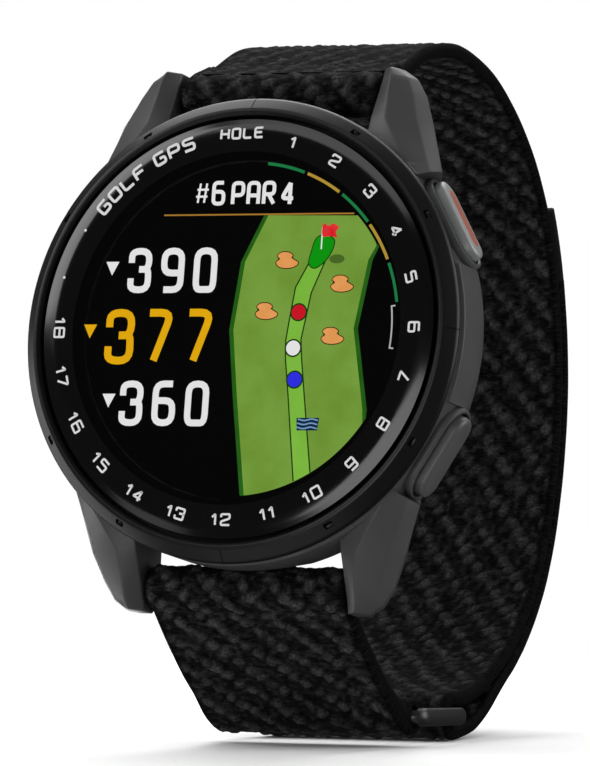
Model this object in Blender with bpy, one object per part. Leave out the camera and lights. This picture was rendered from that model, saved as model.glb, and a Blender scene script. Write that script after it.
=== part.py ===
"""A golf GPS watch with a woven hook-and-loop strap, as an assembly of separate pieces.

Frame: the dial faces -Y, 12 o'clock is +Z and 3 o'clock is +X. The origin is the centre of the sensor
window's flat face, which rests on the wrist. Sizes below are in millimetres; add_object() makes them metres.
"""

import math

import bmesh
import bpy
from mathutils import Matrix, Vector

# ---------------------------------------------------------------- driving dimensions, in millimetres
MM = 0.001  # one millimetre in metres
GAP = 0.3  # clearance between touching pieces
THICK = 11.4  # glass top to wrist face
CASE_R = 21.5  # outer radius of case and bezel
LENS_R = 19.4
CAVITY_R = 18.8
COVER_R = 17.3
SEAT_R = 14.6  # opening behind the back cover
LUG_GAP = 20.4  # between the lugs, for a 20 mm strap
LUG_REACH = 25.2  # lug tips from the centre
BAR_Y = -3.6  # spring-bar axes
BAR_Z = 23.0
BAR_R = 0.8
BAR_LOOP_R = 2.2  # strap loop round a spring bar
STRAP_W = 20.0
STRAP_T = 1.2
BUTTON_ANGLE = 30.0  # above and below 3 o'clock
BUTTON_Y = -5.2
BUTTON_TRAVEL = 0.3
RELEASE_TRAVEL = 1.2
RING_W = 22.4  # strap ring, along X
RING_BAR = (1.6, 1.3)  # a ring bar's width and thickness
RING_FRONT = Vector((0, 12.9, -32.45))  # centre of the ring's front bar
RING_REAR = Vector((0, 23.0, -31.15))  # centre of the ring's rear bar
FOLD_POINT = Vector((0, 14.7, 30.9))  # where the long strap bends when the loop sways
TIP_POINT = Vector((0, 38.2, 19.8))  # the inner layer's middle under the strap's free end
TAB_STEPS = 6  # path steps that the tip's hook tab covers
SEGMENTS = 56
HIDDEN_SEGMENTS = 32


# ---------------------------------------------------------------- materials
def material(name, colour, roughness, metallic=0.0, alpha=1.0):
    made = bpy.data.materials.new(name)
    made.use_nodes = True
    shader = made.node_tree.nodes["Principled BSDF"]
    shader.inputs["Base Color"].default_value = (*colour, 1.0)
    shader.inputs["Roughness"].default_value = roughness
    shader.inputs["Metallic"].default_value = metallic
    shader.inputs["Alpha"].default_value = alpha
    return made


def slate_polymer(name):
    return material(name, (0.07, 0.072, 0.075), 0.5)


def dark_anodised(name):
    return material(name, (0.045, 0.046, 0.048), 0.32, 0.85)


def woven_black(name):
    return material(name, (0.012, 0.012, 0.013), 0.95)


def steel(name):
    return material(name, (0.55, 0.55, 0.56), 0.3, 1.0)


def seal_rubber(name):
    return material(name, (0.02, 0.02, 0.02), 0.8)


def circuit_green(name):
    return material(name, (0.02, 0.12, 0.05), 0.5)


# ---------------------------------------------------------------- mesh helpers
def add_object(name, bm, finish, smooth_angle=35.0):
    """Makes an object of a bmesh whose points are in millimetres."""
    bmesh.ops.recalc_face_normals(bm, faces=bm.faces)
    bmesh.ops.scale(bm, vec=(MM, MM, MM), verts=bm.verts)
    mesh = bpy.data.meshes.new(name)
    bm.to_mesh(mesh)
    bm.free()
    mesh.shade_smooth()
    mesh.set_sharp_from_angle(angle=math.radians(smooth_angle))
    if finish:
        mesh.materials.append(finish)
    made = bpy.data.objects.new(name, mesh)
    bpy.context.scene.collection.objects.link(made)
    return made


def cutter(made):
    made.hide_render = True
    made.display_type = "WIRE"
    return made


def combine(target, other, operation="DIFFERENCE"):
    step = target.modifiers.new(other.name, "BOOLEAN")
    step.operation = operation
    step.object = cutter(other)
    step.solver = "EXACT"


def transform(bm, matrix):
    bmesh.ops.transform(bm, matrix=matrix, verts=bm.verts)


def turned(profile, segments=SEGMENTS):
    """A solid turned about the Y axis. The profile is a closed outline of (radius, y)."""
    bm = bmesh.new()
    rings = []
    for radius, y in profile:
        if radius == 0:
            rings.append([bm.verts.new((0, y, 0))])
            continue
        turn = [2 * math.pi * i / segments for i in range(segments)]
        rings.append([bm.verts.new((radius * math.sin(a), y, radius * math.cos(a))) for a in turn])
    for here, there in zip(rings, rings[1:] + rings[:1]):
        if len(here) == 1 and len(there) == 1:
            continue
        for i in range(segments):
            j = (i + 1) % segments
            near = [here[i % len(here)], here[j % len(here)]]
            far = [there[j % len(there)], there[i % len(there)]]
            bm.faces.new(list(dict.fromkeys(near + far)))
    return bm


def ring_profile(inner, outer, front, back):
    return [(inner, front), (outer, front), (outer, back), (inner, back)]


def disc_profile(radius, front, back):
    return [(0, front), (radius, front), (radius, back), (0, back)]


def extruded(outline, low, high, axis):
    """A prism: outline points span the two other axes, in X, Y, Z order."""
    def place(point, along):
        u, v = point
        return {"X": (along, u, v), "Y": (u, along, v), "Z": (u, v, along)}[axis]

    bm = bmesh.new()
    ends = [[bm.verts.new(place(p, along)) for p in outline] for along in (low, high)]
    bm.faces.new(ends[0])
    bm.faces.new(ends[1])
    count = len(outline)
    for i in range(count):
        j = (i + 1) % count
        bm.faces.new([ends[0][i], ends[0][j], ends[1][j], ends[1][i]])
    return bm


def lofted(sections):
    """A solid through equal-length rings of points, closed at both ends."""
    bm = bmesh.new()
    rings = [[bm.verts.new(p) for p in section] for section in sections]
    bm.faces.new(rings[0])
    bm.faces.new(rings[-1])
    for here, there in zip(rings, rings[1:]):
        for i in range(len(here)):
            j = (i + 1) % len(here)
            bm.faces.new([here[i], here[j], there[j], there[i]])
    return bm


def box(low, high):
    (x0, y0, z0), (x1, y1, z1) = low, high
    return extruded([(x0, y0), (x1, y0), (x1, y1), (x0, y1)], z0, z1, "Z")


def rod(radius, start, end, segments=16):
    """A cylinder between two points."""
    start, end = Vector(start), Vector(end)
    bm = bmesh.new()
    length = (end - start).length
    bmesh.ops.create_cone(bm, cap_ends=True, segments=segments, radius1=radius, radius2=radius, depth=length)
    turn = Vector((0, 0, 1)).rotation_difference(end - start).to_matrix().to_4x4()
    transform(bm, Matrix.Translation((start + end) / 2) @ turn)
    return bm


def washer(inner, outer, start, end, segments=24):
    """A ring between two points on its axis."""
    start, end = Vector(start), Vector(end)
    bm = turned(ring_profile(inner, outer, 0, (end - start).length), segments)
    turn = Vector((0, 1, 0)).rotation_difference(end - start).to_matrix().to_4x4()
    transform(bm, Matrix.Translation(start) @ turn)
    return bm


def stadium(half_length, half_width, arc_steps=6):
    """Round-ended outline, long in its first direction."""
    reach = half_length - half_width
    points = []
    for side in (1, -1):
        for i in range(arc_steps + 1):
            a = side * math.pi / 2 - math.pi * i / arc_steps
            points.append((side * reach + half_width * math.cos(a), half_width * math.sin(a)))
    return points


def rounded_rectangle(half_x, half_y, radius, arc_steps=4):
    points = []
    for quarter, (sx, sy) in enumerate(((1, 1), (-1, 1), (-1, -1), (1, -1))):
        for i in range(arc_steps + 1):
            a = math.pi / 2 * (quarter + i / arc_steps)
            x = sx * (half_x - radius) + radius * math.cos(a)
            y = sy * (half_y - radius) + radius * math.sin(a)
            points.append((x, y))
    return points


def coil(radius, wire, start, end, turns, steps=10, sides=5):
    """A helical spring between two points on its axis, as one swept solid."""
    start, end = Vector(start), Vector(end)
    along = end - start
    turn = Vector((0, 0, 1)).rotation_difference(along).to_matrix().to_4x4()
    sections = []
    count = int(turns * steps)
    for i in range(count + 1):
        a = 2 * math.pi * i / steps
        outward = Vector((math.cos(a), math.sin(a), 0))
        centre = outward * radius + Vector((0, 0, along.length * i / count))
        ring = []
        for k in range(sides):
            b = 2 * math.pi * k / sides
            ring.append(centre + outward * wire * math.cos(b) + Vector((0, 0, wire * math.sin(b))))
        sections.append(ring)
    bm = lofted(sections)
    transform(bm, Matrix.Translation(start) @ turn)
    return bm


# ---------------------------------------------------------------- strap curves, in the YZ plane
def smooth_path(points, steps=5):
    """Catmull-Rom curve through hand-chosen points, as a list of points."""
    points = [2 * points[0] - points[1]] + points + [2 * points[-1] - points[-2]]
    path = []
    for a, b, c, d in zip(points, points[1:], points[2:], points[3:]):
        for i in range(steps):
            t = i / steps
            square = (2 * a - 5 * b + 4 * c - d) * t**2
            cube = (3 * b - a - 3 * c + d) * t**3
            path.append(0.5 * (2 * b + (c - a) * t + square + cube))
    path.append(points[-2])
    return path


def outward_normals(path):
    """Normals on the left of the direction of travel, which is outward on a clockwise loop seen from +X."""
    normals = []
    for i in range(len(path)):
        step = path[min(i + 1, len(path) - 1)] - path[max(i - 1, 0)]
        normals.append(Vector((0, -step.z, step.y)).normalized())
    return normals


def moved_out(path, distances):
    return [p + n * d for p, n, d in zip(path, outward_normals(path), distances)]


def band(path, thickness):
    """Outline of a strap of even thickness round its middle path."""
    outer = moved_out(path, [thickness / 2] * len(path))
    inner = moved_out(path, [-thickness / 2] * len(path))
    return [(p.y, p.z) for p in outer + inner[::-1]]


def arc_points(centre, radius, start_deg, end_deg, steps=12):
    points = []
    for i in range(steps + 1):
        a = math.radians(start_deg + (end_deg - start_deg) * i / steps)
        points.append(Vector((0, centre.y + radius * math.cos(a), centre.z + radius * math.sin(a))))
    return points


LONG_MIDDLE = [
    (-3.2, 24.4), (0.9, 26.2), (5.6, 28.8), (10.0, 30.2), (14.7, 30.9), (20.7, 30.4), (25.3, 29.1),
    (30.1, 26.8), (34.5, 23.7), (38.2, 19.8), (41.0, 15.4), (43.2, 10.0), (44.6, 3.8), (44.8, -3.6),
    (43.5, -11.4), (40.7, -17.6), (36.3, -22.9), (31.2, -26.6), (27.6, -28.4), (25.2, -29.15),
]
RING_WRAP = [
    (23.9, -29.4), (22.6, -29.5), (21.6, -29.95), (21.18, -30.72), (21.15, -31.52), (21.5, -32.3),
    (22.3, -32.72), (23.7, -32.6),
]
SHORT_MIDDLE = [(-3.2, -24.4), (0.7, -27.2), (5.0, -29.9), (9.1, -31.7), (12.9, -32.45)]


def vectors(pairs):
    return [Vector((0, y, z)) for y, z in pairs]


def nearest(path, point):
    return min(range(len(path)), key=lambda i: (path[i] - point).length)


def trimmed(path, start=0.0, end=0.0):
    """The path with a length taken off its first and last run."""
    path = list(path)
    path[0] = path[0] + (path[1] - path[0]).normalized() * start
    path[-1] = path[-1] + (path[-2] - path[-1]).normalized() * end
    return path


# ---------------------------------------------------------------- case
def case_outline():
    return [
        (0, -9.5), (21.1, -9.5), (21.1, -8.95), (CASE_R, -8.75), (CASE_R, -4.4), (21.25, -3.5),
        (20.5, -2.4), (19.3, -1.5), (18.1, -1.0), (0, -1.0),
    ]


def lug_sections():
    """Cross-sections of the lug at +X, +Z, from inside the case to the tip."""
    inner = LUG_GAP / 2
    rows = [
        # z, inner front y, crest (x, y), outer edge (x, y), back y
        (9.0, -8.8, (17.0, -8.8), (18.9, -6.0), -1.9),
        (13.5, -8.8, (16.0, -8.85), (17.6, -6.0), -1.9),
        (16.5, -8.6, (14.1, -8.8), (16.7, -5.6), -1.8),
        (20.0, -7.3, (11.9, -7.9), (15.6, -5.2), -1.6),
        (22.6, -5.9, (11.6, -7.0), (14.5, -4.4), -1.5),
        (24.3, -5.0, (11.5, -6.35), (13.4, -4.2), -1.9),
        (LUG_REACH, -4.7, (11.3, -5.9), (12.0, -4.1), -2.6),
    ]
    sections = []
    for z, inner_y, crest, edge, back in rows:
        tuck = 1.5 * (edge[0] - inner) / 5.4
        swell = 0.12 * (edge[0] - crest[0])
        flank = (0.4 * crest[0] + 0.6 * edge[0] + swell, 0.4 * crest[1] + 0.6 * edge[1] - swell)
        sections.append([
            (inner, back, z), (inner, inner_y, z), (*crest, z), (*flank, z), (*edge, z),
            (edge[0] - tuck, back + 0.1, z),
        ])
    return sections


def button_frame(sign):
    """Matrix whose X runs out of the case along the button, Y stays the watch's Y and Z is the tangent."""
    angle = math.radians(BUTTON_ANGLE * sign)
    return Matrix.Rotation(-angle, 4, "Y") @ Matrix.Translation((0, BUTTON_Y, 0))


def button_point(sign, out, y=0.0, tangent=0.0):
    return button_frame(sign) @ Vector((out, y, tangent))


SHELF = 20.7  # the flat that the case is cut to round a button
GUARD_OUT = 21.4
GUARD_HALF = (4.7, 2.55)
POCKET_FLOOR = 20.1
POCKET_HALF = (4.4, 2.15)
CAP_IN = POCKET_FLOOR + GAP + BUTTON_TRAVEL + 0.2
CAP_OUT = 22.2
CAP_HALF = (4.1, 1.5)
SEAL_POCKET = (1.55, 19.4)  # radius and depth reached, from the case's centre


def pill(half_length, half_width, low, high, sign):
    outline = [(y, z) for z, y in stadium(half_length, half_width)]
    bm = extruded(outline, low, high, "X")
    transform(bm, button_frame(sign))
    return bm


def make_case():
    body = add_object("case_body", turned(case_outline()), slate_polymer("case_polymer"))
    for side in (1, -1):
        for end in (1, -1):
            lug = lofted(lug_sections())
            transform(lug, Matrix.Diagonal((side, 1, end, 1)))
            combine(body, add_object(f"lug_{side}_{end}", lug, None), "UNION")
    for sign in (1, -1):
        shelf = box((SHELF, -3.72, -4.75), (25.0, 3.4, 4.75))
        transform(shelf, button_frame(sign))
        combine(body, add_object(f"button_shelf_{sign}", shelf, None))
        guard = pill(*GUARD_HALF, 17.0, GUARD_OUT, sign)
        combine(body, add_object(f"guard_{sign}", guard, None), "UNION")
    for end in (1, -1):
        centre = Vector((0, BAR_Y, end * BAR_Z))
        reach = Vector((LUG_GAP / 2, 0, 0))
        channel = rod(BAR_LOOP_R + GAP, centre - reach, centre + reach, 32)
        combine(body, add_object(f"bar_channel_{end}", channel, None))
        for side in (1, -1):
            hole = rod(0.65, centre + Vector((side * 9.6, 0, 0)), centre + Vector((side * 11.5, 0, 0)))
            combine(body, add_object(f"bar_hole_{side}_{end}", hole, None))
    for sign in (1, -1):
        pocket = pill(*POCKET_HALF, POCKET_FLOOR, 25.0, sign)
        combine(body, add_object(f"button_pocket_{sign}", pocket, None))
        radius, depth = SEAL_POCKET
        seat = rod(radius, button_point(sign, depth), button_point(sign, POCKET_FLOOR + 0.5), 24)
        combine(body, add_object(f"seal_seat_{sign}", seat, None))
        bore = rod(0.9, button_point(sign, 18.0), button_point(sign, depth + 0.3))
        combine(body, add_object(f"stem_bore_{sign}", bore, None))
    for number, place in enumerate(screw_places()):
        hole = rod(0.75, place + Vector((0, -3.0, 0)), place + Vector((0, -1.5, 0)), 12)
        combine(body, add_object(f"screw_hole_{number}", hole, None))

    cavity = turned([
        (0, -9.9), (19.7, -9.9), (19.7, -8.7), (CAVITY_R, -8.7), (CAVITY_R, -3.4), (SEAT_R, -3.4),
        (SEAT_R, -2.65), (15.8, -2.65), (15.8, -2.3), (COVER_R + GAP, -2.3), (COVER_R + GAP, -0.4), (0, -0.4),
    ])
    combine(body, add_object("case_cavity", cavity, None))


BEZEL_SLOT_ANGLES = (30, 60, 120, 150, 210, 240, 300, 330)


def make_front():
    lens = turned([
        (0, -THICK), (17.9, -THICK), (18.9, -11.25), (LENS_R, -10.9), (LENS_R, -10.35), (0, -10.35),
    ])
    add_object("glass_lens", lens, material("cover_glass", (0.02, 0.02, 0.02), 0.03, 0.0, 0.35))
    gasket = turned(ring_profile(18.3, LENS_R, -10.05, -9.95), HIDDEN_SEGMENTS)
    add_object("lens_gasket", gasket, seal_rubber("gasket_foam"))
    bezel = add_object("bezel", turned([
        (LENS_R + GAP, -11.0), (20.1, -11.25), (20.3, -11.2), (CASE_R - 0.1, -10.25), (CASE_R, -10.1),
        (CASE_R, -9.8), (LENS_R, -9.8), (LENS_R, -9.0), (18.0, -9.0), (18.0, -9.65), (LENS_R + GAP, -9.65),
    ]), dark_anodised("bezel_metal"))
    for number, angle in enumerate(BEZEL_SLOT_ANGLES):
        slot = box((-0.5, -10.95, 20.75), (0.5, -10.0, 21.0))
        transform(slot, Matrix.Rotation(math.radians(angle), 4, "Y"))
        combine(bezel, add_object(f"bezel_slot_{number}", slot, None))
    index = turned(ring_profile(15.9, 18.0, -10.05, -9.95), HIDDEN_SEGMENTS)
    add_object("index_ring", index, material("index_black", (0.01, 0.01, 0.01), 0.4))
    panel = turned(disc_profile(15.6, -10.05, -9.3), HIDDEN_SEGMENTS)
    add_object("display_panel", panel, material("display_glass", (0.01, 0.01, 0.012), 0.1))
    tray = turned([
        (0, -8.95), (17.6, -8.95), (17.6, -8.35), (16.9, -8.35), (16.9, -8.45), (0, -8.45),
    ], HIDDEN_SEGMENTS)
    add_object("display_tray", tray, material("tray_polymer", (0.1, 0.1, 0.1), 0.6))
    antenna = turned(ring_profile(17.9, 18.5, -8.1, -7.3), HIDDEN_SEGMENTS)
    add_object("antenna_ring", antenna, material("antenna_brass", (0.6, 0.45, 0.2), 0.35, 0.9))


def make_electronics():
    board = turned(disc_profile(16.8, -8.05, -7.25), HIDDEN_SEGMENTS)
    add_object("main_board", board, circuit_green("board_green"))
    add_object("processor_shield", box((-8.0, -6.95, 6.0), (-0.5, -5.6, 13.0)), steel("shield_tin"))
    add_object("radio_shield", box((0.5, -6.95, 6.0), (7.5, -5.6, 13.0)), steel("radio_shield_tin"))
    cell = extruded([(x - 2.0, z - 4.2) for x, z in rounded_rectangle(10.0, 8.8, 2.0)], -6.95, -3.7, "Y")
    add_object("battery", cell, material("battery_foil", (0.5, 0.5, 0.52), 0.4, 0.6))
    motor = rod(1.9, (10.6, -4.9, -2.5), (10.6, -4.9, 2.5), 24)
    add_object("vibration_motor", motor, steel("motor_can"))
    sensor = turned(disc_profile(7.4, -2.6, -1.95), HIDDEN_SEGMENTS)
    add_object("sensor_board", sensor, circuit_green("sensor_green"))


def screw_places():
    """Points on the screws' axes, at Y = 0."""
    places = []
    for quarter in range(4):
        angle = math.radians(45 + 90 * quarter)
        places.append(Vector((16.5 * math.cos(angle), 0, 16.5 * math.sin(angle))))
    return places


CHARGE_Z = -11.6


def make_back():
    cover = turned([
        (0, -1.7), (COVER_R, -1.7), (COVER_R, -1.0), (16.2, -0.75), (10.0, -0.6), (0, -0.6),
    ])
    body = add_object("back_cover", cover, slate_polymer("cover_polymer"))
    window_hole = turned(disc_profile(8.3, -2.5, 0.5), HIDDEN_SEGMENTS)
    combine(body, add_object("window_hole", window_hole, None))
    socket = extruded([(x, z + CHARGE_Z) for x, z in stadium(4.2, 1.9)], -2.2, 0.2, "Y")
    combine(body, add_object("charge_socket", socket, None))
    for number, place in enumerate(screw_places()):
        shank = rod(0.65, place + Vector((0, -2.0, 0)), place + Vector((0, 0, 0)), 12)
        combine(body, add_object(f"cover_hole_{number}", shank, None))
    window = turned([
        (0, -1.6), (8.0, -1.6), (8.0, -0.7), (7.4, -0.3), (6.2, 0), (0, 0),
    ], HIDDEN_SEGMENTS)
    add_object("sensor_window", window, material("sensor_glass", (0.01, 0.01, 0.01), 0.05))
    port = add_object(
        "charge_port", extruded([(x, z + CHARGE_Z) for x, z in stadium(3.9, 1.6)], -1.9, -0.9, "Y"),
        material("port_polymer", (0.02, 0.02, 0.02), 0.6))
    for number in range(4):
        x = -2.4 + 1.6 * number
        hole = rod(0.65, (x, -2.2, CHARGE_Z), (x, -0.5, CHARGE_Z), 12)
        combine(port, add_object(f"pin_hole_{number}", hole, None))
        pin = rod(0.38, (x, -1.9, CHARGE_Z), (x, -0.85, CHARGE_Z), 12)
        gold = material(f"pin_gold_{number}", (0.8, 0.6, 0.25), 0.25, 1.0)
        add_object(f"charge_pin_{number + 1}", pin, gold)
    for number, place in enumerate(screw_places()):
        screw = rod(0.4, place + Vector((0, -2.9, 0)), place + Vector((0, -0.95, 0)), 10)
        add_object(f"back_screw_{number + 1}", screw, steel(f"screw_steel_{number}"))
    gasket = turned(ring_profile(14.9, 15.5, -2.35, -2.0), HIDDEN_SEGMENTS)
    add_object("case_gasket", gasket, seal_rubber("case_seal"))


# ---------------------------------------------------------------- buttons
def make_button(word, sign):
    axis = bpy.data.objects.new(f"{word}_button_axis", None)
    bpy.context.scene.collection.objects.link(axis)

    def riding(made):
        made.parent = axis
        return made

    half_length, half_width = CAP_HALF
    rows = ((CAP_IN, 0.0), (21.7, 0.0), (22.05, 0.25), (CAP_OUT, 0.6))
    sections = []
    for out, inset in rows:
        sections.append([(out, y, z) for z, y in stadium(half_length - inset, half_width - inset)])
    shape = lofted(sections)
    transform(shape, button_frame(sign))
    cap = riding(add_object(f"{word}_button_cap", shape, slate_polymer(f"{word}_cap_polymer")))
    recess = rod(1.25, button_point(sign, 20.0), button_point(sign, 21.45), 24)
    combine(cap, add_object(f"{word}_cap_recess", recess, None))
    if sign > 0:
        groove = pill(3.0, 0.75, 21.75, 24.0, sign)
        combine(cap, add_object("stripe_groove", groove, None))
        stripe = pill(2.7, 0.45, 22.05, CAP_OUT + 0.05, sign)
        riding(add_object("upper_button_stripe", stripe, material("stripe_orange", (0.8, 0.16, 0.05), 0.5)))
    stem = rod(0.5, button_point(sign, 17.6), button_point(sign, 21.15))
    riding(add_object(f"{word}_button_stem", stem, steel(f"{word}_stem_steel")))
    clip = washer(0.8, 1.4, button_point(sign, 17.95), button_point(sign, 18.3), 16)
    riding(add_object(f"{word}_button_clip", clip, steel(f"{word}_clip_steel")))
    spring = coil(0.85, 0.1, button_point(sign, 20.4), button_point(sign, 21.05), 2)
    add_object(f"{word}_button_spring", spring, steel(f"{word}_spring_steel"))
    seal = washer(0.75, 1.25, button_point(sign, 19.6), button_point(sign, 20.0), 20)
    add_object(f"{word}_button_seal", seal, seal_rubber(f"{word}_seal_rubber"))
    switch = box((14.6, -1.6, -1.6), (16.8, 1.6, 1.6))
    transform(switch, button_frame(sign))
    add_object(f"{word}_switch", switch, material(f"{word}_switch_black", (0.03, 0.03, 0.03), 0.5))


# ---------------------------------------------------------------- quick-release bars
BAR_HALF = 9.9
LEVER_X = 7.2


def make_bar(word, end):
    """Tube with a fixed tip at -X, and a sprung plunger with a thumb lever at +X."""
    def at(x, dy=0.0):
        return (x, BAR_Y + dy, end * BAR_Z)

    barrel = rod(BAR_R, at(-BAR_HALF), at(BAR_HALF), 20)
    tube = add_object(f"{word}_bar_tube", barrel, steel(f"{word}_tube_steel"))
    tip = add_object(f"{word}_fixed_tip", rod(0.4, at(-11.1), at(-9.0), 12), None)
    combine(tube, tip, "UNION")
    bore = rod(0.56, at(1.0), at(BAR_HALF + 1), 16)
    combine(tube, add_object(f"{word}_bar_bore", bore, None))
    freed = LEVER_X - RELEASE_TRAVEL
    slot = box((freed - 0.55, BAR_Y, end * BAR_Z - 0.5), (LEVER_X + 0.55, BAR_Y + 1.5, end * BAR_Z + 0.5))
    combine(tube, add_object(f"{word}_bar_slot", slot, None))
    pin = rod(0.36, at(4.2), at(11.1), 12)
    plunger = add_object(f"{word}_bar_plunger", pin, steel(f"{word}_plunger_steel"))
    lever = add_object(f"{word}_bar_lever", rod(0.28, at(LEVER_X), at(LEVER_X, 2.9), 10), None)
    combine(plunger, lever, "UNION")
    spring = coil(0.26, 0.09, at(1.3), at(3.9), 5, 8, 4)
    add_object(f"{word}_bar_spring", spring, steel(f"{word}_bar_spring_steel"))


def clear_bar(strap, word, end):
    """Cuts the bar's hole and the lever's slot through the strap's end loop."""
    hole = rod(BAR_R + 0.2, (-12, BAR_Y, end * BAR_Z), (12, BAR_Y, end * BAR_Z), 20)
    combine(strap, add_object(f"{word}_loop_hole", hole, None))
    freed = LEVER_X - RELEASE_TRAVEL
    slot = box((freed - 0.9, BAR_Y, end * BAR_Z - 0.75), (LEVER_X + 0.75, BAR_Y + 4.0, end * BAR_Z + 0.75))
    combine(strap, add_object(f"{word}_lever_slot", slot, None))


# ---------------------------------------------------------------- strap
def loop_end(word, centre, radius):
    end = rod(radius, (-STRAP_W / 2, centre.y, centre.z), (STRAP_W / 2, centre.y, centre.z), 32)
    return add_object(word, end, None)


def strap_piece(name, path, thickness=STRAP_T, half_width=STRAP_W / 2):
    shape = extruded(band(path, thickness), -half_width, half_width, "X")
    return add_object(name, shape, woven_black(f"{name}_weave"))


def make_long_strap():
    path = smooth_path(vectors(LONG_MIDDLE), 3)
    fold = nearest(path, FOLD_POINT)
    upper = strap_piece("long_strap_upper", trimmed(path[: fold + 1], end=GAP / 2))
    combine(upper, loop_end("upper_loop", Vector((0, BAR_Y, BAR_Z)), BAR_LOOP_R), "UNION")
    clear_bar(upper, "upper", 1)

    # The tail lies on the outside of the strap, further out where it leaves the ring.
    last = len(path) - 1
    span = path[nearest(path, TIP_POINT):]
    distances = []
    for point in span:
        near_ring = max(0.0, 1 - (point - path[last]).length / 11.0)
        distances.append(STRAP_T + GAP + 1.45 * near_ring**2 * (3 - 2 * near_ring))
    outside = moved_out(span, distances)
    strap_piece("long_strap_tail", trimmed(outside[TAB_STEPS:], start=GAP, end=GAP / 2))
    strap_piece("strap_tip_tab", outside[: TAB_STEPS + 1])

    wrap = smooth_path(vectors(LONG_MIDDLE[-2:] + RING_WRAP) + [outside[-1]], 3)
    strap_piece("long_strap_back", trimmed(path[fold:-1] + wrap[3:], start=GAP / 2, end=GAP / 2))


def make_short_strap():
    path = smooth_path(vectors(SHORT_MIDDLE), 4)
    strap = strap_piece("short_strap", path, 1.6)
    combine(strap, loop_end("lower_loop", Vector((0, BAR_Y, -BAR_Z)), BAR_LOOP_R), "UNION")
    combine(strap, loop_end("ring_loop", RING_FRONT, 1.85), "UNION")
    clear_bar(strap, "lower", -1)
    tilt = ring_frame()
    width, thickness = RING_BAR
    hole = extruded(rounded_rectangle(width / 2 + 0.2, thickness / 2 + 0.2, 0.6), -12, 12, "X")
    transform(hole, tilt)
    combine(strap, add_object("ring_bar_hole", hole, None))


def ring_frame():
    """Matrix at the front bar's centre, whose Y runs to the rear bar."""
    run = RING_REAR - RING_FRONT
    return Matrix.Translation(RING_FRONT) @ Matrix.Rotation(math.atan2(run.z, run.y), 4, "X")


def make_ring():
    length = (RING_REAR - RING_FRONT).length
    width, thickness = RING_BAR
    side = (RING_W - STRAP_W - 2 * GAP) / 2
    outline = [(x, y + length / 2) for x, y in rounded_rectangle(RING_W / 2, length / 2 + width / 2, 1.0)]
    ring = extruded(outline, -thickness / 2, thickness / 2, "Z")
    transform(ring, ring_frame())
    made = add_object("strap_ring", ring, dark_anodised("ring_metal"))
    hole = box((-RING_W / 2 + side, width / 2, -2), (RING_W / 2 - side, length - width / 2, 2))
    transform(hole, ring_frame())
    combine(made, add_object("ring_slot", hole, None))


def main():
    for old in list(bpy.data.objects):
        bpy.data.objects.remove(old, do_unlink=True)
    make_case()
    make_front()
    make_electronics()
    make_back()
    make_button("upper", 1)
    make_button("lower", -1)
    make_bar("top", 1)
    make_bar("bottom", -1)
    make_long_strap()
    make_short_strap()
    make_ring()


main()
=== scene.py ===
"""The looks of a golf GPS watch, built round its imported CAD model.

Lengths are millimetres in the watch's own frame: the dial faces -Y, 12 o'clock is +Z and 3 o'clock is +X.
make_piece() turns them into metres.
"""

import math

import bmesh
import bpy
import numpy as np
from mathutils import Matrix, Vector


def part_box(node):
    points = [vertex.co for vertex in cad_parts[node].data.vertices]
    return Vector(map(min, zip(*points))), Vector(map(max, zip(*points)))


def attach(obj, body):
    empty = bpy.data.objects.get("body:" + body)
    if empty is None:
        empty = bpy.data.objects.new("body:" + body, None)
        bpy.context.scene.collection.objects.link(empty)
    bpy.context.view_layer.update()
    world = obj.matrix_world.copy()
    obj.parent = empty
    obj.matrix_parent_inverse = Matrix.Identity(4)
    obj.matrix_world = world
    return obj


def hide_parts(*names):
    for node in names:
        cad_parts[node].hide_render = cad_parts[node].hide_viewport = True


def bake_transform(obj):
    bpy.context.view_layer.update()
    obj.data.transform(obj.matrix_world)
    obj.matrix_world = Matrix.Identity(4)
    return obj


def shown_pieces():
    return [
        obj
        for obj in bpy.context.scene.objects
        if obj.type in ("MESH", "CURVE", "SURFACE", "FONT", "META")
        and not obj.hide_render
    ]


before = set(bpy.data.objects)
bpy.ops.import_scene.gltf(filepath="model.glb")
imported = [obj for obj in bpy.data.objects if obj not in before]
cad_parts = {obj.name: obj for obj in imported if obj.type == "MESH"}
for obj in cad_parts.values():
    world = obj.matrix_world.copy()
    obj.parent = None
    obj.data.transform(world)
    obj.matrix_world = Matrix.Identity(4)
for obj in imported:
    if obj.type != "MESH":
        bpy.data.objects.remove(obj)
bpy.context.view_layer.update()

MM = 0.001  # one millimetre in metres


def box_mm(node):
    """Lowest and highest corner of a CAD node, in millimetres."""
    low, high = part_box(node)
    return low / MM, high / MM


# ---- sizes read from the frame
GLASS_LOW, GLASS_HIGH = box_mm("glass_lens")
GLASS_FRONT = GLASS_LOW.y
GLASS_BACK = GLASS_HIGH.y
GLASS_R = GLASS_HIGH.x
BEZEL_R = box_mm("bezel")[1].x
PANEL_FRONT = box_mm("display_panel")[0].y
TOP_BAR = sum(box_mm("top_bar_spring"), Vector()) / 2
BOTTOM_BAR = sum(box_mm("bottom_bar_spring"), Vector()) / 2
STRAP_HALF = box_mm("short_strap")[1].x
RING_HALF = box_mm("strap_ring")[1].x

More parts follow.
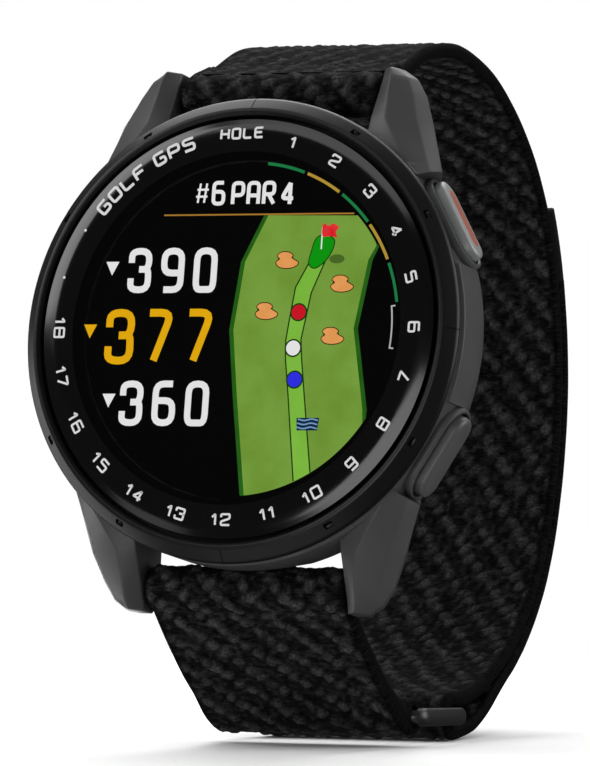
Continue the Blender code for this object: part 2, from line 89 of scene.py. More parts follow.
# ---- sizes of the details
DISPLAY_R = 15.3  # lit part of the display
MASK_R = 15.7  # where the black mask behind the glass begins
PRINT_R = 16.3  # and where the glass's own black rim begins
NUMERAL_R = 17.65
GLASS_BEVEL_R = 18.35  # where the slope of the glass's rim begins, but for its soft edge
BEVEL_SLOPE = 20.0  # degrees
BEVEL_SOFT = 0.6
HOLE_COUNT = 18
HOLE_STEP = 15.0  # degrees between hole numerals
LUG_GAP = 20.4
BUTTON_ANGLE = 30.0
BUTTON_Y = -5.2
STRAP_T = 1.2
GAP = 0.3
BAR_LOOP_R = 2.2
LEVER_X = 7.2
TIP_POINT = (38.2, 19.8)  # (y, z) on the strap that its free end reaches, on the outside
TAB_LENGTH = 7.0
SPINE_STEP = 0.25  # between the points along a strap
GRID_STEP = 0.23  # and across it
RING_FRONT = Vector((0, 12.9, -32.45))
RING_REAR = Vector((0, 23.0, -31.15))


# ---- material nodes
class Graph:
    """The node tree of a material or of the world, with short calls for adding to it."""

    def __init__(self, name, kind="materials"):
        self.owner = getattr(bpy.data, kind).new(name)
        self.owner.use_nodes = True
        self.tree = self.owner.node_tree
        self.shader = self.tree.nodes.get("Principled BSDF")

    def node(self, kind, inputs=None, **settings):
        made = self.tree.nodes.new(kind)
        for name, value in settings.items():
            setattr(made, name, value)
        for socket, value in (inputs or {}).items():
            self.feed(made.inputs[socket], value)
        return made

    def feed(self, socket, value):
        if isinstance(value, bpy.types.NodeSocket):
            self.tree.links.new(value, socket)
        else:
            socket.default_value = value

    def set(self, **inputs):
        for name, value in inputs.items():
            self.feed(self.shader.inputs[name.replace("_", " ")], value)

    def show(self, surface):
        output = "World Output" if self.shader is None else "Material Output"
        self.tree.links.new(surface, self.tree.nodes[output].inputs["Surface"])

    def place(self):
        return self.node("ShaderNodeTexCoord").outputs["Object"]

    def attribute(self, name, output="Fac"):
        return self.node("ShaderNodeAttribute", attribute_name=name).outputs[output]

    def noise(self, scale, detail=3.0, vector=None):
        inputs = {"Vector": vector or self.place(), "Scale": scale, "Detail": detail}
        return self.node("ShaderNodeTexNoise", inputs).outputs["Fac"]

    def ranged(self, value, start, end, low, high):
        inputs = {"Value": value, 1: start, 2: end, 3: low, 4: high}
        return self.node("ShaderNodeMapRange", inputs).outputs[0]

    def mix(self, factor, first, second):
        inputs = {"Factor": factor, 6: first, 7: second}
        return self.node("ShaderNodeMix", inputs, data_type="RGBA").outputs[2]

    def maths(self, operation, first, second):
        return self.node("ShaderNodeMath", {0: first, 1: second}, operation=operation).outputs[0]

    def bump(self, height, distance, strength=1.0):
        """Bump of that height in metres."""
        inputs = {"Height": height, "Distance": distance, "Strength": strength}
        return self.node("ShaderNodeBump", inputs).outputs["Normal"]


def rgba(grey_or_colour, gain=1.0):
    """A grey or a colour as the four numbers that a colour socket takes."""
    if isinstance(grey_or_colour, (int, float)):
        grey_or_colour = (grey_or_colour,) * 3
    return (*(gain * part for part in grey_or_colour), 1.0)


def moulded(
        name, colour, roughness, metallic=0.0, mottle=0.12, grain=0.008, grain_scale=6000, edge_highlight=0.5,
        shine=0.4):
    """Plastic, rubber or metal: mottled colour, fine grain, and a painted highlight that lightens the sharp
    outer edges.
    """
    g = Graph(name)
    cloudy = g.noise(220, 4)
    base = g.mix(cloudy, rgba(colour, 1 - mottle), rgba(colour, 1 + mottle))
    # painted highlight: edges found by their pointiness are painted up to 1.9 times lighter, standing in for
    # the bright lines that light draws along them
    edges = g.ranged(g.node("ShaderNodeNewGeometry").outputs["Pointiness"], 0.52, 0.62, 0.0, edge_highlight)
    base = g.mix(edges, base, rgba(colour, 1.9))
    fine = g.noise(grain_scale, 2)
    g.set(Base_Color=base, Metallic=metallic, Specular_IOR_Level=shine)
    g.set(Roughness=g.ranged(cloudy, 0.3, 0.7, 0.92 * roughness, 1.08 * roughness))
    g.set(Normal=g.bump(fine, grain * MM))
    return g.owner


def brushed(name, colour, roughness, axis=(1, 1, 1), metallic=1.0):
    """Metal with fine scratches that run across the axes whose factor is large."""
    g = Graph(name)
    stretched = g.node("ShaderNodeMapping", {"Vector": g.place(), "Scale": axis}).outputs[0]
    scratches = g.noise(2600, 3, stretched)
    g.set(Base_Color=g.mix(scratches, rgba(colour, 0.82), rgba(colour, 1.15)), Metallic=metallic)
    g.set(Roughness=g.ranged(scratches, 0.25, 0.75, roughness - 0.06, roughness + 0.1))
    g.set(Normal=g.bump(scratches, 0.01 * MM))
    return g.owner


def anodised(name, colour, roughness):
    """Fine-blasted and anodised metal."""
    g = Graph(name)
    cloudy = g.noise(160, 3)
    blasted = g.noise(9000, 2)
    g.set(Base_Color=g.mix(cloudy, rgba(colour, 0.9), rgba(colour, 1.1)), Metallic=0.9)
    g.set(Roughness=g.ranged(blasted, 0.2, 0.8, roughness - 0.04, roughness + 0.05))
    g.set(Normal=g.bump(blasted, 0.006 * MM))
    return g.owner


def printed(name, grey, painted_glow=0.0):
    """Matt ink under glass, which has no shine of its own. Its glow is painted light, an emission that lights
    the print as the lamps would.
    """
    g = Graph(name)
    speckle = g.mix(g.noise(3000, 2), rgba(grey, 0.85), rgba(grey, 1.1))
    g.set(Base_Color=speckle, Roughness=0.9, Specular_IOR_Level=0.0)
    # painted light: the print glows faintly, though it is no lamp
    g.set(Emission_Color=rgba(grey), Emission_Strength=painted_glow)
    return g.owner


def clear_glass(name):
    """Watch glass: clear, with a mirror's shine on its outer side that grows as the view gets flatter."""
    g = Graph(name)
    smears = g.noise(90, 2)
    clear = g.node("ShaderNodeBsdfTransparent").outputs[0]
    shine = g.node("ShaderNodeBsdfGlossy", {"Roughness": g.ranged(smears, 0.3, 0.7, 0.02, 0.05)}).outputs[0]
    outside = g.maths("SUBTRACT", 1.0, g.node("ShaderNodeNewGeometry").outputs["Backfacing"])
    share = g.maths("MULTIPLY", g.node("ShaderNodeFresnel", {"IOR": 1.5}).outputs[0], outside)
    g.show(g.node("ShaderNodeMixShader", {0: share, 1: clear, 2: shine}).outputs[0])
    g.tree.nodes.remove(g.shader)
    return g.owner


def lit(name, colour, second=None, scale=500, strength=0.92):
    """Display pixels, which shine by themselves. The second colour mottles the first."""
    g = Graph(name)
    patches = g.ranged(g.noise(scale, 5), 0.35, 0.65, 0.0, 1.0)
    shown = g.mix(patches, rgba(colour), rgba(second or colour, 1.0 if second else 0.97))
    g.set(Base_Color=rgba(0.0), Roughness=0.6, Specular_IOR_Level=0.0)
    g.set(Emission_Color=shown, Emission_Strength=strength)
    return g.owner


def woven(name, dark=0.0005, light=0.045):
    """Black knitted cloth. Its colour follows the mesh's own pile height, as painted light on the tops of its
    loops and painted shade in the gaps between them, and laid yarns streak the rest.
    """
    g = Graph(name)
    cloth = g.attribute("cloth", "Vector")
    laid = g.node("ShaderNodeMapping", {"Vector": cloth, "Scale": (1.5, 5.5, 1)}).outputs[0]
    streaks = g.noise(1.0, 3, laid)
    fibres = g.noise(4.0, 4, cloth)
    # painted light and shade: colour brightens with pile height, lighter on loop tops and darker in the gaps,
    # mixed with the yarn's own fibre mottling
    loops = g.maths("MULTIPLY", g.attribute("pile"), g.ranged(fibres, 0.3, 0.7, 0.25, 1.25))
    tone = g.maths("ADD", loops, g.ranged(streaks, 0.45, 0.7, 0.0, 0.14))
    tone = g.maths("MULTIPLY", tone, g.ranged(g.noise(0.5, 3, cloth), 0.3, 0.7, 0.7, 1.1))
    g.set(Base_Color=g.mix(tone, rgba(dark), rgba((light, light, light * 0.98))), Roughness=0.95)
    g.set(Specular_IOR_Level=0.06)
    g.set(Normal=g.bump(g.maths("ADD", streaks, fibres), 0.1 * MM, 0.9))
    return g.owner


def circuit(name):
    """Solder mask over copper tracks."""
    g = Graph(name)
    tracks = g.node("ShaderNodeTexBrick", {"Vector": g.place(), "Scale": 900}).outputs["Fac"]
    g.set(Base_Color=g.mix(tracks, rgba((0.01, 0.09, 0.04)), rgba((0.02, 0.2, 0.08))), Roughness=0.45)
    g.set(Normal=g.bump(tracks, 0.02 * MM))
    return g.owner


# the display's colours: a grey or a colour, a second one that mottles it, and the mottling's scale
INKS = {
    "white_ink": (0.86,),
    "grey_ink": (0.5,),
    "gold_ink": ((0.83, 0.43, 0.004),),
    "line_ink": ((0.42, 0.2, 0.03),),
    "grass": ((0.16, 0.31, 0.035), (0.2, 0.37, 0.055), 260),
    "grass_edge": ((0.015, 0.10, 0.006), (0.02, 0.13, 0.01), 400),
    "fairway": ((0.2, 0.5, 0.045), (0.23, 0.54, 0.06), 300),
    "green": ((0.003, 0.32, 0.004),),
    "outline": ((0.008, 0.04, 0.006),),
    "sand": ((0.86, 0.37, 0.11), (0.8, 0.33, 0.09), 900),
    "sand_edge": ((0.05, 0.015, 0.004),),
    "smudge": ((0.07, 0.15, 0.02),),
    "flag": ((0.75, 0.01, 0.02), (0.85, 0.05, 0.05), 900),
    "red": ((0.63, 0.008, 0.02),),
    "blue": ((0.03, 0.03, 0.82),),
    "wave": ((0.2, 0.38, 0.55),),
    "deep": ((0.005, 0.02, 0.08),),
    "score_green": ((0.012, 0.21, 0.06),),
    "score_gold": ((0.47, 0.3, 0.04),),
}


def make_materials():
    # moulded finishes paint a highlight on their sharp edges; its strength is set per finish below
    looks = {
        "case": moulded("case_slate", (0.034, 0.0343, 0.035), 0.45, edge_highlight=0.35),
        "cover": moulded("cover_slate", (0.03, 0.0303, 0.031), 0.5),
        "bezel": anodised("bezel_grey", (0.026, 0.0262, 0.0266), 0.36),
        "glass": clear_glass("watch_glass"),
        "rim": moulded("rim_black", 0.0015, 0.14, grain=0.0, edge_highlight=0.0, shine=0.5),
        # the silver numerals get a faint painted glow
        "silver": printed("print_silver", 0.5, 0.12),
        "panel": printed("panel_black", 0.0004),
        "cap": brushed("cap_grey", (0.09, 0.0905, 0.092), 0.45, (1, 1, 6), 0.6),
        "light_cap": brushed("light_cap_grey", (0.24, 0.25, 0.25), 0.48, (1, 1, 6), 0.6),
        "orange": moulded("stripe_orange", (0.24, 0.055, 0.03), 0.5, edge_highlight=0.2),
        "ring": anodised("ring_grey", (0.06, 0.0605, 0.062), 0.4),
        "steel": brushed("bar_steel", (0.5, 0.5, 0.51), 0.28, (6, 1, 1)),
        "gold": brushed("contact_gold", (0.8, 0.58, 0.22), 0.22),
        "weave": woven("strap_pile"),
        "tab": moulded(
            "tip_tab_black", 0.003, 0.8, mottle=0.2, grain=0.08, grain_scale=2500, edge_highlight=0.1, shine=0.1),
        "seal": moulded("seal_black", 0.01, 0.75, grain=0.05, edge_highlight=0.1),
        "board": circuit("board_green"),
        "tin": brushed("shield_tin", (0.62, 0.62, 0.6), 0.35),
        "brass": brushed("antenna_brass", (0.6, 0.45, 0.2), 0.35),
        "foil": moulded("battery_foil", (0.5, 0.5, 0.52), 0.35, 0.7, edge_highlight=0.2),
        "dark": moulded("inner_black", 0.02, 0.55, edge_highlight=0.2),
        "window": moulded("sensor_black", 0.004, 0.12, grain=0.001, edge_highlight=0.0),
    }
    for name, colours in INKS.items():
        looks[name] = lit(name, *colours)
    return looks


# ---- outlines
def softened(outline, steps=4, closed=True):
    """An outline with its corners rounded. Its points are (u, v), or (u, v, fillet) for a rounded one."""
    rounded = []
    last = len(outline) - 1
    for i, (u, v, *fillet) in enumerate(outline):
        here = Vector((u, v))
        if not fillet or not closed and i in (0, last):
            rounded.append(here)
            continue
        ends = []
        for other in (outline[i - 1], outline[(i + 1) % (last + 1)]):
            run = Vector(other[:2]) - here
            ends.append(here + run.normalized() * min(fillet[0], 0.48 * run.length))
        for k in range(steps + 1):
            t = k / steps
            rounded.append(ends[0].lerp(here, t).lerp(here.lerp(ends[1], t), t))
    return [tuple(p) for p in rounded]


def stadium(half_length, half_width, arc_steps=14):
    """Round-ended outline, long in its first direction."""
    reach = half_length - half_width
    points = []
    for side in (1, -1):
        for i in range(arc_steps + 1):
            a = side * math.pi / 2 - math.pi * i / arc_steps
            points.append((side * reach + half_width * math.cos(a), half_width * math.sin(a)))
    return points


def clock_point(radius, angle):
    """The point (x, z) at a clock angle, in degrees, round the dial's centre."""
    a = math.radians(angle)
    return radius * math.sin(a), radius * math.cos(a)


def arc(radius, start, end, steps=24):
    return [clock_point(radius, start + (end - start) * i / steps) for i in range(steps + 1)]


def circle(x, z, radius, steps=32):
    return [(x + radius * u, z + radius * v) for u, v in arc(1.0, 0, 360 * (steps - 1) / steps, steps - 1)]


def smooth_through(points, steps, closed=False):
    """Catmull-Rom curve through given points, as a list of vectors."""
    points = [Vector(p) for p in points]
    if closed:
        points = [points[-1]] + points + points[:2]
    else:
        points = [2 * points[0] - points[1]] + points + [2 * points[-1] - points[-2]]
    path = []
    for a, b, c, d in zip(points, points[1:], points[2:], points[3:]):
        for i in range(steps):
            t = i / steps
            square = (2 * a - 5 * b + 4 * c - d) * t**2
            cube = (3 * b - a - 3 * c + d) * t**3
            path.append(0.5 * (2 * b + (c - a) * t + square + cube))
    if not closed:
        path.append(points[-2])
    return path


def blob(points, steps=5, x=0.0, z=0.0):
    """A smooth closed outline through points, moved by (x, z)."""
    return [(x + p.x, z + p.y) for p in smooth_through(points, steps, closed=True)]


# ---- solids, as bmeshes in millimetres
def turned(profile, segments=192):
    """A solid turned about the Y axis. The profile is a closed outline of (radius, y)."""
    bm = bmesh.new()
    rings = []
    for radius, y in profile:
        if radius == 0:
            rings.append([bm.verts.new((0, y, 0))])
            continue
        turn = [2 * math.pi * i / segments for i in range(segments)]
        rings.append([bm.verts.new((radius * math.sin(a), y, radius * math.cos(a))) for a in turn])
    for here, there in zip(rings, rings[1:] + rings[:1]):
        if len(here) == 1 and len(there) == 1:
            continue
        for i in range(segments):
            j = (i + 1) % segments
            near = [here[i % len(here)], here[j % len(here)]]
            far = [there[j % len(there)], there[i % len(there)]]
            bm.faces.new(list(dict.fromkeys(near + far)))
    return bm


def add_loft(bm, sections, closed=False):
    """Adds a skin through equal-length rings of points, closed at its ends or into a ring."""
    rings = [[bm.verts.new(p) for p in section] for section in sections]
    if not closed:
        bm.faces.new(rings[0])
        bm.faces.new(rings[-1])
    for here, there in zip(rings, rings[1:] + (rings[:1] if closed else [])):
        for i in range(len(here)):
            j = (i + 1) % len(here)
            bm.faces.new([here[i], here[j], there[j], there[i]])
    return bm


def lofted(sections):
    return add_loft(bmesh.new(), sections)


def add_plate(bm, outline, front, back):
    """Adds a flat plate that faces the dial's front, from an outline of (x, z)."""
    return add_loft(bm, [[(x, y, z) for x, z in outline] for y in (front, back)])


def box(low, high):
    (x0, y0, z0), (x1, y1, z1) = low, high
    corners = [(x0, y0), (x1, y0), (x1, y1), (x0, y1)]
    return lofted([[(x, y, z) for x, y in corners] for z in (z0, z1)])


def rod(radius, start, end, segments=32):
    """A cylinder between two points."""
    start, end = Vector(start), Vector(end)
    turn = Vector((0, 0, 1)).rotation_difference(end - start)
    ring = []
    for i in range(segments):
        a = 2 * math.pi * i / segments
        ring.append(turn @ Vector((radius * math.cos(a), radius * math.sin(a), 0)))
    return lofted([[point + p for p in ring] for point in (start, end)])


def transformed(bm, matrix):
    bmesh.ops.transform(bm, matrix=matrix, verts=bm.verts)
    return bm


def bevelled(bm, width, angle=30.0, segments=3):
    """Rounds the edges whose faces meet at more than that angle."""
    bmesh.ops.recalc_face_normals(bm, faces=bm.faces)
    limit = math.radians(angle)
    sharp = [e for e in bm.edges if len(e.link_faces) == 2 and e.calc_face_angle(0) > limit]
    bmesh.ops.bevel(
        bm, geom=sharp, offset=width, segments=segments, profile=0.5, affect="EDGES", clamp_overlap=True)
    return bm


def temporary(bm):
    bmesh.ops.recalc_face_normals(bm, faces=bm.faces)
    mesh = bpy.data.meshes.new("temporary")
    bm.to_mesh(mesh)
    bm.free()
    made = bpy.data.objects.new("temporary", mesh)
    bpy.context.scene.collection.objects.link(made)
    return made


def carved(bm, joined=(), cut=()):
    """The solid with others joined to it and then others cut from it."""
    base = temporary(bm)
    helpers = []
    for operation, solids in (("UNION", joined), ("DIFFERENCE", cut)):
        for solid in solids:
            step = base.modifiers.new(operation, "BOOLEAN")
            step.operation = operation
            step.object = temporary(solid)
            step.solver = "EXACT"
            helpers.append(step.object)
    result = bmesh.new()
    result.from_object(base, bpy.context.evaluated_depsgraph_get())
    for helper in [base, *helpers]:
        bpy.data.objects.remove(helper, do_unlink=True)
    return result


def make_piece(name, bm, finish, body, replaced=(), smooth_angle=32.0):
    """Makes a piece of a bmesh in millimetres. It rides on the body and stands for the replaced CAD nodes."""
    bmesh.ops.recalc_face_normals(bm, faces=bm.faces)
    bmesh.ops.scale(bm, vec=(MM, MM, MM), verts=bm.verts)
    mesh = bpy.data.meshes.new(name)
    bm.to_mesh(mesh)
    bm.free()
    mesh.shade_smooth()
    mesh.set_sharp_from_angle(angle=math.radians(smooth_angle))
    return add_piece(name, mesh, finish, body, replaced)


def add_piece(name, mesh, finish, body, replaced=()):
    mesh.materials.append(finish)
    made = bpy.data.objects.new(name, mesh)
    bpy.context.scene.collection.objects.link(made)
    if body:
        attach(made, body)
    if replaced:
        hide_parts(*replaced)
    return made


# ---- case
LUG_ROWS = [
    # z, inner front y, crest (x, y), outer edge (x, y), back y
    (9.0, -8.8, 17.0, -8.8, 18.9, -6.0, -1.9),
    (13.5, -8.8, 16.0, -8.85, 17.6, -6.0, -1.9),
    (16.5, -8.6, 14.1, -8.8, 16.7, -5.6, -1.8),
    (20.0, -7.3, 11.9, -7.9, 15.6, -5.2, -1.6),
    (22.6, -5.9, 11.6, -7.0, 14.5, -4.4, -1.5),
    (24.3, -5.0, 11.5, -6.35, 13.4, -4.2, -1.9),
    (25.2, -4.7, 11.3, -5.9, 12.0, -4.1, -2.6),
]


def lug():
    """The lug at +X and +Z, as a loft of six-sided sections."""
    inner = LUG_GAP / 2
    sections = []
    rows = np.array(LUG_ROWS)
    last = len(rows) - 1
    for place in np.linspace(0, last, 4 * last + 1):
        z, front, crest_x, crest_y, edge_x, edge_y, back = [
            np.interp(place, range(len(rows)), column) for column in rows.T]
        swell = 0.12 * (edge_x - crest_x)
        shoulder = (0.4 * crest_x + 0.6 * edge_x + swell, 0.4 * crest_y + 0.6 * edge_y - swell, z)
        foot = (edge_x - 1.5 * (edge_x - inner) / 5.4, back + 0.1, z)
        sections.append([
            (inner, back, z), (inner, front, z), (crest_x, crest_y, z), shoulder, (edge_x, edge_y, z), foot])
    return bevelled(lofted(sections), 0.16, 16)


def button_frame(sign):
    """Matrix whose X runs out of the case along the button, Y stays the watch's Y and Z is the tangent."""
    return Matrix.Rotation(-math.radians(BUTTON_ANGLE * sign), 4, "Y") @ Matrix.Translation((0, BUTTON_Y, 0))


def pill(rows, sign):
    """A loft of round-ended sections along a button's axis. Its rows are (out, half length, half width)."""
    sections = []
    for out, half_length, half_width in rows:
        sections.append([(out, y, z) for z, y in stadium(half_length, half_width)])
    return transformed(lofted(sections), button_frame(sign))


def case_shell():
    body = turned(softened([
        (0, -9.5), (21.1, -9.5, 0.08), (21.1, -8.95, 0.1), (BEZEL_R, -8.75, 0.12), (BEZEL_R, -4.4, 0.8),
        (21.25, -3.5, 0.4), (20.5, -2.4, 0.5), (19.3, -1.5, 0.5), (18.1, -1.0, 0.3), (0, -1.0),
    ]))
    lugs = []
    for side in (1, -1):
        for end in (1, -1):
            lugs.append(transformed(lug(), Matrix.Diagonal((side, 1, end, 1))))
    shelves = []
    guards = []
    cut = []
    for sign in (1, -1):
        stem = button_frame(sign)
        shelves.append(transformed(box((20.7, -3.72, -4.75), (25.0, 3.4, 4.75)), stem))
        guards.append(pill([
            (17.0, 4.8, 2.65), (20.9, 4.77, 2.62), (21.25, 4.72, 2.55), (21.37, 4.64, 2.46),
            (21.4, 4.55, 2.36)], sign))
        cut.append(pill([
            (20.1, 4.35, 2.15), (21.3, 4.35, 2.15), (21.45, 4.45, 2.27), (25.0, 4.5, 2.3)], sign))
        cut.append(rod(0.9, stem @ Vector((18.0, 0, 0)), stem @ Vector((20.6, 0, 0))))
    for bar in (TOP_BAR, BOTTOM_BAR):
        reach = Vector((LUG_GAP / 2, 0, 0))
        centre = Vector((0, bar.y, bar.z))
        cut.append(rod(BAR_LOOP_R + GAP, centre - reach, centre + reach, 64))
        for side in (1, -1):
            cut.append(rod(0.65, centre + Vector((side * 9.6, 0, 0)), centre + Vector((side * 11.5, 0, 0))))
    cut.append(turned([
        (0, -9.9), (19.7, -9.9), (19.7, -8.7), (18.8, -8.7), (18.8, -3.4), (14.6, -3.4), (14.6, -2.65),
        (15.8, -2.65), (15.8, -2.3), (17.6, -2.3), (17.6, -0.4), (0, -0.4)], 96))
    return carved(carved(body, lugs, shelves), guards, cut)


BEZEL_SLOT_ANGLES = (30, 60, 120, 150, 210, 240, 300, 330)
BEZEL_SEAM_ANGLES = (0, 90, 180, 270)


def bezel_ring():
    profile = softened([
        (19.72, -9.65), (19.72, -10.95, 0.1), (20.05, -11.25, 0.08), (20.35, -11.2, 0.12),
        (21.36, -10.3, 0.14), (BEZEL_R, -10.05, 0.1), (BEZEL_R, -9.8, 0.06), (21.2, -9.62, 0.05),
        (19.4, -9.62), (19.4, -9.0), (18.0, -9.0), (18.0, -9.65)])
    cut = []
    for angle in BEZEL_SLOT_ANGLES:
        slot = bevelled(box((-0.45, -11.3, 20.52), (0.45, -10.25, 20.98)), 0.12, 60, 2)
        cut.append(transformed(slot, Matrix.Rotation(math.radians(angle), 4, "Y")))
    for angle in BEZEL_SEAM_ANGLES:
        seam = lofted([
            [(x, -11.3, 20.36), (x, -11.08, 20.36), (x, -10.18, 21.36), (x, -9.9, 21.4), (x, -9.9, 21.8)]
            for x in (-0.04, 0.04)])
        cut.append(transformed(seam, Matrix.Rotation(math.radians(angle), 4, "Y")))
    return carved(turned(profile, 240), (), cut)


def rim_drop(radius):
    """How far the glass's soft-edged bevel has dropped at a radius."""
    into = max(0.0, radius - GLASS_BEVEL_R + BEVEL_SOFT)
    slope = math.tan(math.radians(BEVEL_SLOPE))
    if into < 2 * BEVEL_SOFT:
        return slope * into**2 / (4 * BEVEL_SOFT)
    return slope * (into - BEVEL_SOFT)


def glass():
    """The clear middle of the glass."""
    return turned([(0, GLASS_FRONT), (PRINT_R, GLASS_FRONT), (PRINT_R + 0.8, GLASS_BACK), (0, GLASS_BACK)])


def glass_rim():
    """The glass's outer ring, which is printed black behind, down to the bezel."""
    profile = [(PRINT_R, GLASS_FRONT)]
    start = GLASS_BEVEL_R - BEVEL_SOFT
    for i in range(21):
        r = start + (GLASS_R - 0.05 - start) * i / 20
        profile.append((r, GLASS_FRONT + rim_drop(r)))
    profile += [
        (GLASS_R, profile[-1][1] + 0.08), (GLASS_R, GLASS_BACK + 0.08), (PRINT_R + 1.2, GLASS_BACK + 0.08),
        (PRINT_R, GLASS_FRONT + 0.02)]
    return turned(profile, 240)


def make_case(looks):
    make_piece("case_shell", case_shell(), looks["case"], "case", ["case_body"], 28)
    make_piece("bezel_ring", bezel_ring(), looks["bezel"], "case", ["bezel"], 25)
    make_piece("lens", glass(), looks["glass"], "case", ["glass_lens"])
    make_piece("lens_rim", glass_rim(), looks["rim"], "case", ["index_ring"])
    front, back = GLASS_BACK + 0.03, GLASS_BACK + 0.07
    mask = turned([(MASK_R, front), (PRINT_R + 1.1, front), (PRINT_R + 1.1, back), (MASK_R, back)])
    make_piece("dial_mask", mask, looks["panel"], "case")


# ---- lettering
# Each glyph is a list of strokes on a square from 0 to 1. Its corners are rounded when it is drawn.
GLYPHS = {
    "0": [[(0.5, 0), (1, 0), (1, 1), (0, 1), (0, 0), (0.5, 0)]],
    "1": [[(0.0, 0.72), (0.62, 1), (0.62, 0)]],
    "2": [[(0, 0.72), (0, 1), (1, 1), (1, 0.6), (0, 0.32), (0, 0), (1, 0)]],
    "3": [
        [(0, 0.7), (0, 1), (1, 1), (1, 0.53), (0.45, 0.53)],
        [(0.9, 0.53), (1, 0.45), (1, 0), (0, 0), (0, 0.3)]],
    "4": [[(0.72, 1), (0, 0.27), (1, 0.27)], [(0.72, 1), (0.72, 0)]],
    "5": [[(0.95, 1), (0, 1), (0, 0.58), (1, 0.58), (1, 0), (0, 0)]],
    "6": [[(0.95, 1), (0, 1), (0, 0), (1, 0), (1, 0.57), (0.08, 0.57)]],
    "7": [[(0, 1), (1, 1), (0.3, 0)]],
    "8": [[(0.5, 0), (1, 0), (1, 1), (0, 1), (0, 0), (0.5, 0)], [(0.05, 0.53), (0.95, 0.53)]],
    "9": [[(0.05, 0), (1, 0), (1, 1), (0, 1), (0, 0.43), (0.92, 0.43)]],
    "#": [
        [(0.15, 0), (0.32, 1)], [(0.7, 0), (0.87, 1)], [(0.06, 0.68), (1.04, 0.68)],
        [(-0.02, 0.32), (0.96, 0.32)]],
    "A": [[(0, 0), (0, 1), (1, 1), (1, 0)], [(0.1, 0.4), (0.9, 0.4)]],
    "E": [[(1, 1), (0, 1), (0, 0), (1, 0)], [(0.1, 0.52), (0.9, 0.52)]],
    "F": [[(0, 0), (0, 1), (1, 1)], [(0.1, 0.5), (0.88, 0.5)]],
    "G": [[(1, 1), (0, 1), (0, 0), (1, 0), (1, 0.5), (0.5, 0.5)]],
    "H": [[(0, 0), (0, 1)], [(1, 0), (1, 1)], [(0.05, 0.5), (0.95, 0.5)]],
    "L": [[(0, 1), (0, 0), (1, 0)]],
    "P": [[(0, 0), (0, 1), (1, 1), (1, 0.42), (0.1, 0.42)]],
    "R": [[(0, 0), (0, 1), (1, 1), (1, 0.45), (0.1, 0.45)], [(0.5, 0.42), (1, 0)]],
    "S": [[(1, 1), (0, 1), (0, 0.53), (1, 0.53), (1, 0), (0, 0)]],
}
GLYPHS["O"] = GLYPHS["0"]


def stepped(points, step):
    """The same path with more points, so that none are further apart than a step."""
    path = [points[0]]
    for before, after in zip(points, points[1:]):
        count = math.ceil((after - before).length / step)
        path += [before.lerp(after, i / count) for i in range(1, count + 1)]
    return path


def add_stroke(bm, points, width, front, back, place):
    """Adds one pen stroke as a thin solid. place() turns the letter's (u, v) into the dial's (x, z)."""
    points = stepped([Vector(p) for p in points], 0.3)
    sections = []
    for i, here in enumerate(points):
        before = points[max(i - 1, 0)]
        after = points[min(i + 1, len(points) - 1)]
        if points[0] == points[-1] and i in (0, len(points) - 1):
            before, after = points[-2], points[1]
        run_in = (here - before).normalized() if here != before else (after - here).normalized()
        run_out = (after - here).normalized() if here != after else run_in
        side = Vector((-(run_in.y + run_out.y), run_in.x + run_out.x)).normalized()
        reach = 0.5 * width / max(0.5, side.dot(Vector((-run_out.y, run_out.x))))
        left, right = place(here + side * reach), place(here - side * reach)
        sections.append([
            (left[0], front, left[1]), (right[0], front, right[1]), (right[0], back, right[1]),
            (left[0], back, left[1])])
    add_loft(bm, sections)


def add_text(bm, text, height, width, pitch, stroke, front, back, place, fillet=0.24):
    """Adds a row of letters centred on the place's origin. Widths and heights are those of the pen's path."""
    advances = [pitch * (0.72 if letter == "1" else 0.5 if letter == " " else 1.0) for letter in text]
    u = -sum(advances) / 2
    for letter, advance in zip(text, advances):
        narrow = width * (0.62 if letter == "1" else 1.0)
        corner = u + (advance - narrow) / 2
        for glyph in GLYPHS.get(letter, []):
            path = [(corner + a * narrow, (b - 0.5) * height, fillet * width) for a, b in glyph]
            add_stroke(bm, softened(path, 4, closed=False), stroke, front, back, place)
        u += advance


def on_dial(radius, clock_angle, upright):
    """Places letters at a clock angle. Upright ones have their tops to the centre, as at 6 o'clock."""
    turn = math.radians(clock_angle)
    outward = Vector((math.sin(turn), math.cos(turn)))
    up = -outward if upright else outward
    right = Vector((up.y, -up.x))

    def place(p):
        spot = outward * radius + right * p[0] + up * p[1]
        return spot.x, spot.y

    return place


def along_arc(radius, clock_angle):
    """Places letters along an arc, with their tops outwards."""
    def place(p):
        turn = math.radians(clock_angle) + p[0] / radius
        reach = radius + p[1]
        return reach * math.sin(turn), reach * math.cos(turn)

    return place


def at_point(x, z):
    def place(p):
        return x + p[0], z + p[1]

    return place


def make_numerals(looks):
    front = GLASS_FRONT - 0.012
    back = GLASS_FRONT + 0.03
    bm = bmesh.new()
    for hole in range(1, HOLE_COUNT + 1):
        place = on_dial(NUMERAL_R, HOLE_STEP * hole, hole > 6)
        add_text(bm, str(hole), 0.98, 0.84, 1.24, 0.2, front, back, place, 0.15)
    add_text(bm, "GOLF GPS", 1.08, 1.05, 1.55, 0.27, front, back, along_arc(18.0, -35.2))
    add_text(bm, "HOLE", 0.9, 0.74, 1.13, 0.22, front, back, on_dial(18.0, -2.0, False))
    for angle in (-60, -75):
        add_plate(bm, circle(*clock_point(18.2, angle), 0.13, 24), front, back)
    for v in bm.verts:
        v.co.y += rim_drop(math.hypot(v.co.x, v.co.z))
    make_piece("dial_numerals", bm, looks["silver"], "case")


# ---- what the display shows
LAYER = 0.012


